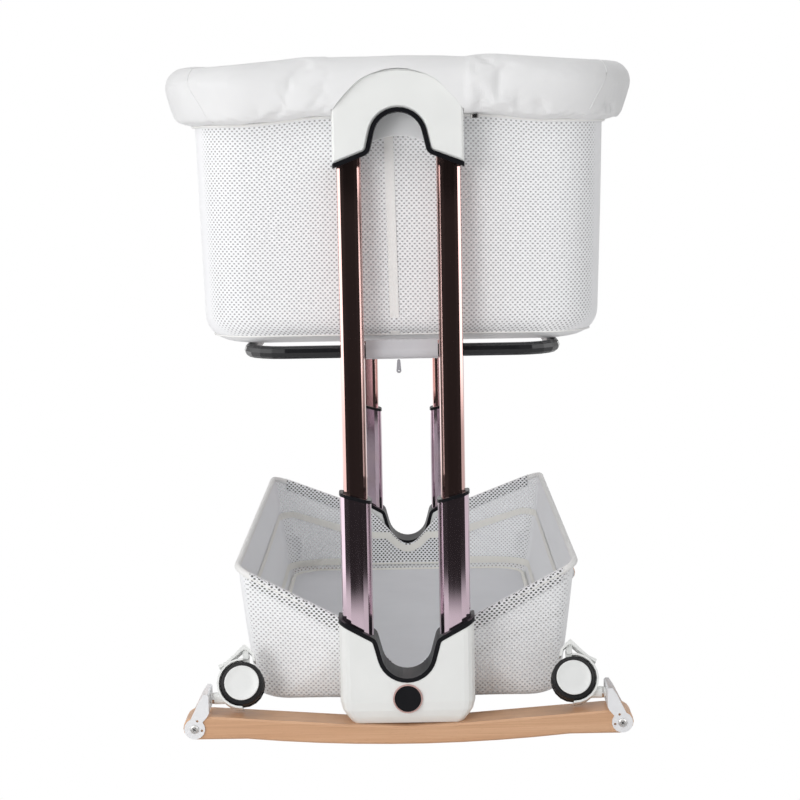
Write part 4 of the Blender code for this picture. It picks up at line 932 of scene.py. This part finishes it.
def make_end_hem(name, end, stations):
    """At each end the net folds over the rail and laps down outside and inside."""
    chosen = [(rim, low) for rim, low in stations if end * rim.y > rail_corner_y + 0.004]
    chosen.sort(key=lambda pair: -end * pair[0].x)
    rings = []
    for index, (rim, low) in enumerate(chosen):
        before = chosen[max(index - 1, 0)][0]
        after = chosen[min(index + 1, len(chosen) - 1)][0]
        along = (after - before).normalized()
        outward = Vector((along.y, -along.x, 0))
        if outward.dot(Vector((rim.x, rim.y, 0))) < 0:
            outward = -outward
        height = wall_height(rim.x)
        on_rail = smooth_step(rail_end_x - 0.012, rail_end_x + 0.004, abs(rim.x))
        radius = hem_turn_radius + (rail_radius + 0.0005) * on_rail
        centre = Vector((rim.x, rim.y, basket_rim_z(rim.x) - (rail_radius + 0.0003) * (1 - on_rail)))
        row = [basket_point(rim, low, max(1 - drop / height, 0.3), 0) + outward * hem_gap_outside
               for drop in (0.0090, 0.0070, 0.0050)]
        row += [centre + outward * radius * cos(angle) + Vector((0, 0, radius * sin(angle)))
                for angle in map(radians, (20, 55, 90, 125, 160))]
        # Inside it ends at the foot of the wall in the middle, and just below the rail elsewhere
        inner_drop = 0.0095 + (height - 0.0125) * (1 - smooth_step(0.034, 0.046, abs(rim.x)))
        row += [basket_point(rim, low, 1 - drop / height, 0.0010) - outward * hem_gap_inside
                for drop in (0.0065, (0.0065 + inner_drop) / 2, inner_drop)]
        rings.append(row)
    hem = make_sheet(f"basket_end_hem_{name}", rings, hem_net, "base", "mesh_fabric", rails,
                     (0, end * rail_plane_y, 0.10), closed_ring=False)
    box_uvs(hem)


def make_floor_panel():
    plan = (panel_half_x, panel_half_y, basket_floor_corner, cloth_step)
    rings = [drawn_in(*plan, shrink, panel_base_z + panel_height * share)
             for share, shrink in ((0.0, 0.005), (0.25, 0.0025), (0.5, 0.002), (0.75, 0.0025), (1.0, 0.006))]
    for share in (0.25, 0.55, 0.90):
        size = 0.96 - share
        rings.append([Vector((point.x * size, point.y * size, panel_base_z + panel_height + 0.0005))
                      for point, outward, run in plan_loop(*plan)])
    panel = loft("basket_board", rings, panel_cloth, "base", caps=True)
    ripple(panel, above=panel_base_z + 0.004, height=0.0006, pitch=12, seed=5)
    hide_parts("basket_floor")
    inset, radius = 0.0005, 0.0032
    route = drawn_in(panel_half_x - inset, panel_half_y - inset, basket_floor_corner, cord_step, 0,
                     panel_base_z + panel_height * 0.6)
    tube("basket_board_binding", route, radius, cream_tape, "base", closed=True, flat=1.1)


# Small hard details

def turned(name, profile, place, axis, material, body, steps=40):
    """Turned piece from (radius, height) points, along an axis from a place."""
    turn = axis.to_track_quat("Z", "Y").to_matrix()
    angles = [tau * share for share in shares(steps)]
    rings = [[place + turn @ Vector((radius * cos(angle), radius * sin(angle), height)) for angle in angles]
             for radius, height in profile]
    return loft(name, rings, material, body, caps=True)


def make_wheel_hubs():
    """White hub disc on each side of each pair of wheels, with a raised edge and a dished face."""
    edge = wheel_cap_radius
    face = wheel_half_width
    profile = [(edge - 0.0002, face - 0.0012), (edge, face + 0.0001), (edge - 0.0006, face + 0.0008),
               (edge - 0.0016, face + 0.0008), (edge - 0.0022, face + 0.0003), (edge * 0.5, face + 0.0004),
               (edge * 0.06, face + 0.0006)]
    for label, end, side in caster_corners:
        lean = Matrix.Rotation(-topple * side * end, 3, "X")
        turn = Matrix.Rotation(pi, 3, "Z") if side > 0 else Matrix.Identity(3)
        pivot = Vector((side * pivot_x, end * column_half_y, pivot_z))
        centre = pivot + turn @ (Vector((0, 0, stem_v)) + lean @ Vector((wheel_u, 0, wheel_trail)))
        for where, way in (("out", -1), ("in", 1)):
            piece = turned(f"wheel_hub_{label}_{where}", profile, centre, turn @ lean @ Vector((0, way, 0)),
                           hub_plastic, f"caster_wheels_{label}")


def make_stem_nuts():
    """Plated six-sided nut on each caster's stem, between its bracket and its boss."""
    profile = [(0.0064, 0), (0.0070, 0.0006), (0.0070, 0.0030), (0.0064, 0.0036)]
    for label, end, side in caster_corners:
        seat = Vector((side * (pivot_x - stem_nut_u), end * column_half_y, pivot_z + stem_v))
        nut = turned(f"stem_nut_{label}", profile, seat, Vector((-side, 0, 0)), screw_steel,
                     f"caster_fork_{label}", 6)
        flatten_shading(nut)


def make_screw_slots():
    """Crossed slots in the outer head of each pivot bolt, as thin black boxes on its face: painted shade for the
    slots' recess.
    """
    half_length, half_depth, half_width = 0.0024, 0.00015, 0.00045
    for label, end, side in caster_corners:
        centre = Vector((side * pivot_x, end * (column_half_y + pivot_head_reach), pivot_z))
        for index, degrees in enumerate((38, 128)):
            turn = Matrix.Rotation(radians(degrees), 3, "Y")
            rings = [[centre + turn @ Vector((x * half_length, y * half_depth, z * half_width)) for x, y in square]
                     for z in (-1, 1)]
            piece = loft(f"screw_slot_{label}_{index}", rings, black_plastic, "base", caps=True)
            flatten_shading(piece)


def flatten_shading(piece):
    for face in piece.data.polygons:
        face.use_smooth = False


# Stage, light and camera

floor_reach = 30
floor_z = -0.0004
studio_white = (0.94, 0.94, 0.94)
# Painted reflections: the dark the floor shows to reflections in front, the glow of its sides and of the card, and
# the world's side panels
painted_room_dark = (0.008, 0.007, 0.007)
painted_side_glow_strength = 2.4
card_strength = 1.8
room_light = 0.54
painted_panel_strength = 2.4


def flat_card(name, corners, material):
    mesh = bmesh.new()
    mesh.faces.new([mesh.verts.new(corner) for corner in corners])
    return link_mesh(name, mesh, material)


def light_paths(graph):
    """The light path's outputs, and 1 where the camera looks, also through the net's holes."""
    path = graph.node("LightPath").outputs
    return path, graph.math("MAXIMUM", path["Is Camera Ray"], path["Is Transmission Ray"])


def make_stage():
    """White floor. The camera sees it as plain white; reflections alone see it painted as a small studio round the
    object, dark in front and glowing at the sides.
    """
    made, graph = new_material("studio_white", studio_white, 0.85)
    path, seen = light_paths(graph)
    place = graph.split(graph.node("TexCoord").outputs["Object"])
    # For reflections only, the floor is painted dark from about a metre in front of the object, as a painted dark
    # room
    beyond = graph.remap(place["Y"], 1, 0, -1.27, -1.10)
    dark = graph.math("MULTIPLY", beyond, path["Is Glossy Ray"])
    tone = graph.blend(dark, (*studio_white, 1), (*painted_room_dark, 1), "RGBA")
    graph.look({"Base Color": tone, "Specular IOR Level": 0.1})
    # For reflections only, the floor glows along each side, brighter further out: a painted bright sheet, not a lamp
    aside = graph.math("ABSOLUTE", place["X"])
    painted_side_glow = graph.math("MULTIPLY", graph.remap(aside, 0, 1, 0.75, 1.1), graph.remap(place["Y"], 0, 1, -1.15, -0.75))
    painted_side_glow = graph.math("MULTIPLY", painted_side_glow, path["Is Glossy Ray"])
    near_strength = graph.remap(place["X"], 1.5, 0.8, -0.5, 0.5)
    strength = graph.blend(graph.remap(aside, 0, 1, 2.8, 4.2), near_strength, painted_side_glow_strength)
    glow = graph.node("Emission", {"Color": (1, 1, 1, 1), "Strength": graph.blend(seen, strength, 1)})
    mix = graph.node("MixShader", {0: graph.math("MAXIMUM", seen, painted_side_glow), 1: graph.shader.outputs["BSDF"],
                                   2: glow.outputs["Emission"]})
    graph.feed(graph.nodes["Material Output"], {"Surface": mix.outputs["Shader"]})
    corners = [(x * floor_reach, y * floor_reach, floor_z) for x, y in square]
    flat_card("studio_floor", corners, made)


def make_reflector():
    """A small glowing card between the near and far legs, which only reflections see: a painted reflection for the
    far tubes, not a lamp.
    """
    made = bpy.data.materials.new("reflector_glow")
    graph = Graph(made)
    glow = graph.node("Emission", {"Strength": card_strength})
    graph.feed(graph.nodes["Material Output"], {"Surface": glow.outputs["Emission"]})
    half_width, half_height, y, middle_z = 0.055, 0.095, -0.03, 0.355
    corners = [(x * half_width, y, middle_z + z * half_height) for x, z in square]
    card = flat_card("painted_reflection_card", corners, made)
    for ray in ("camera", "diffuse", "transmission", "volume_scatter", "shadow"):
        setattr(card, f"visible_{ray}", False)


def make_world():
    """The camera sees white, and all else an even soft light. For reflections alone the world is painted: dark in
    front, a bright panel at each side, and white behind.
    """
    world = bpy.data.worlds.new("studio")
    scene.world = world
    graph = Graph(world)
    path, seen = light_paths(graph)
    direction = graph.split(graph.node("TexCoord").outputs["Generated"])
    forward = graph.remap(direction["Y"], 0, 1, 1, -1)
    greys = ((0.0, 0.30), (0.30, 0.34), (0.42, 1.0), (0.64, 1.0), (0.80, 0.45), (0.88, 0.25))
    tones = [(place, (grey, grey, grey)) for place, grey in greys]
    tones += [(0.92, (0.010, 0.008, 0.008)), (1.0, (0.006, 0.005, 0.005))]
    panel = graph.math("MULTIPLY", graph.ramp(forward, tones), painted_panel_strength)
    lighting = graph.blend(path["Is Glossy Ray"], room_light, panel)
    graph.feed(graph.nodes["Background"], {"Color": (1, 1, 1, 1), "Strength": graph.blend(seen, lighting, 1)})


def area_light(name, place, target, size, energy, in_reflections=True):
    data = bpy.data.lights.new(name, "AREA")
    data.size = size
    data.energy = energy
    lamp = link(name, data)
    aim = (Vector(target) - Vector(place)).to_track_quat("-Z", "Y")
    lamp.visible_glossy = in_reflections
    lamp.matrix_world = Matrix.Translation(place) @ aim.to_matrix().to_4x4()


def make_camera():
    data = bpy.data.cameras.new("photo_camera")
    data.lens = camera_lens
    data.sensor_width = 36
    data.clip_start = 0.05
    data.clip_end = 200
    camera = link("photo_camera", data)
    turned_place = Matrix.Translation(camera_place)
    for angle, axis in ((camera_azimuth, "Z"), (pi / 2 - camera_pitch, "X"), (-camera_roll, "Z")):
        turned_place @= Matrix.Rotation(angle, 4, axis)
    camera.matrix_world = turned_place
    scene.camera = camera


make_stage()
make_reflector()
make_world()
make_camera()
area_light("key_panel", (-1.9, -2.4, 1.7), (0, 0, 0.45), 1.8, 17)
area_light("fill_panel", (2.3, -2.0, 1.3), (0, 0, 0.45), 1.6, 2)
area_light("front_panel", (-1.05, -2.3, 0.75), (0, 0, 0.6), 0.8, 12, in_reflections=False)
area_light("top_panel", (0, 0.6, 3.0), (0, 0, 0.4), 2.4, 10)
scene.view_settings.view_transform = "Standard"

rim_cover = make_rim_cover()
make_cover_seams(rim_cover)
make_body_net()
make_webbing()
make_mattress()
make_frame_sleeves()
make_basket()
make_floor_panel()
make_wheel_hubs()
make_stem_nuts()
make_screw_slots()
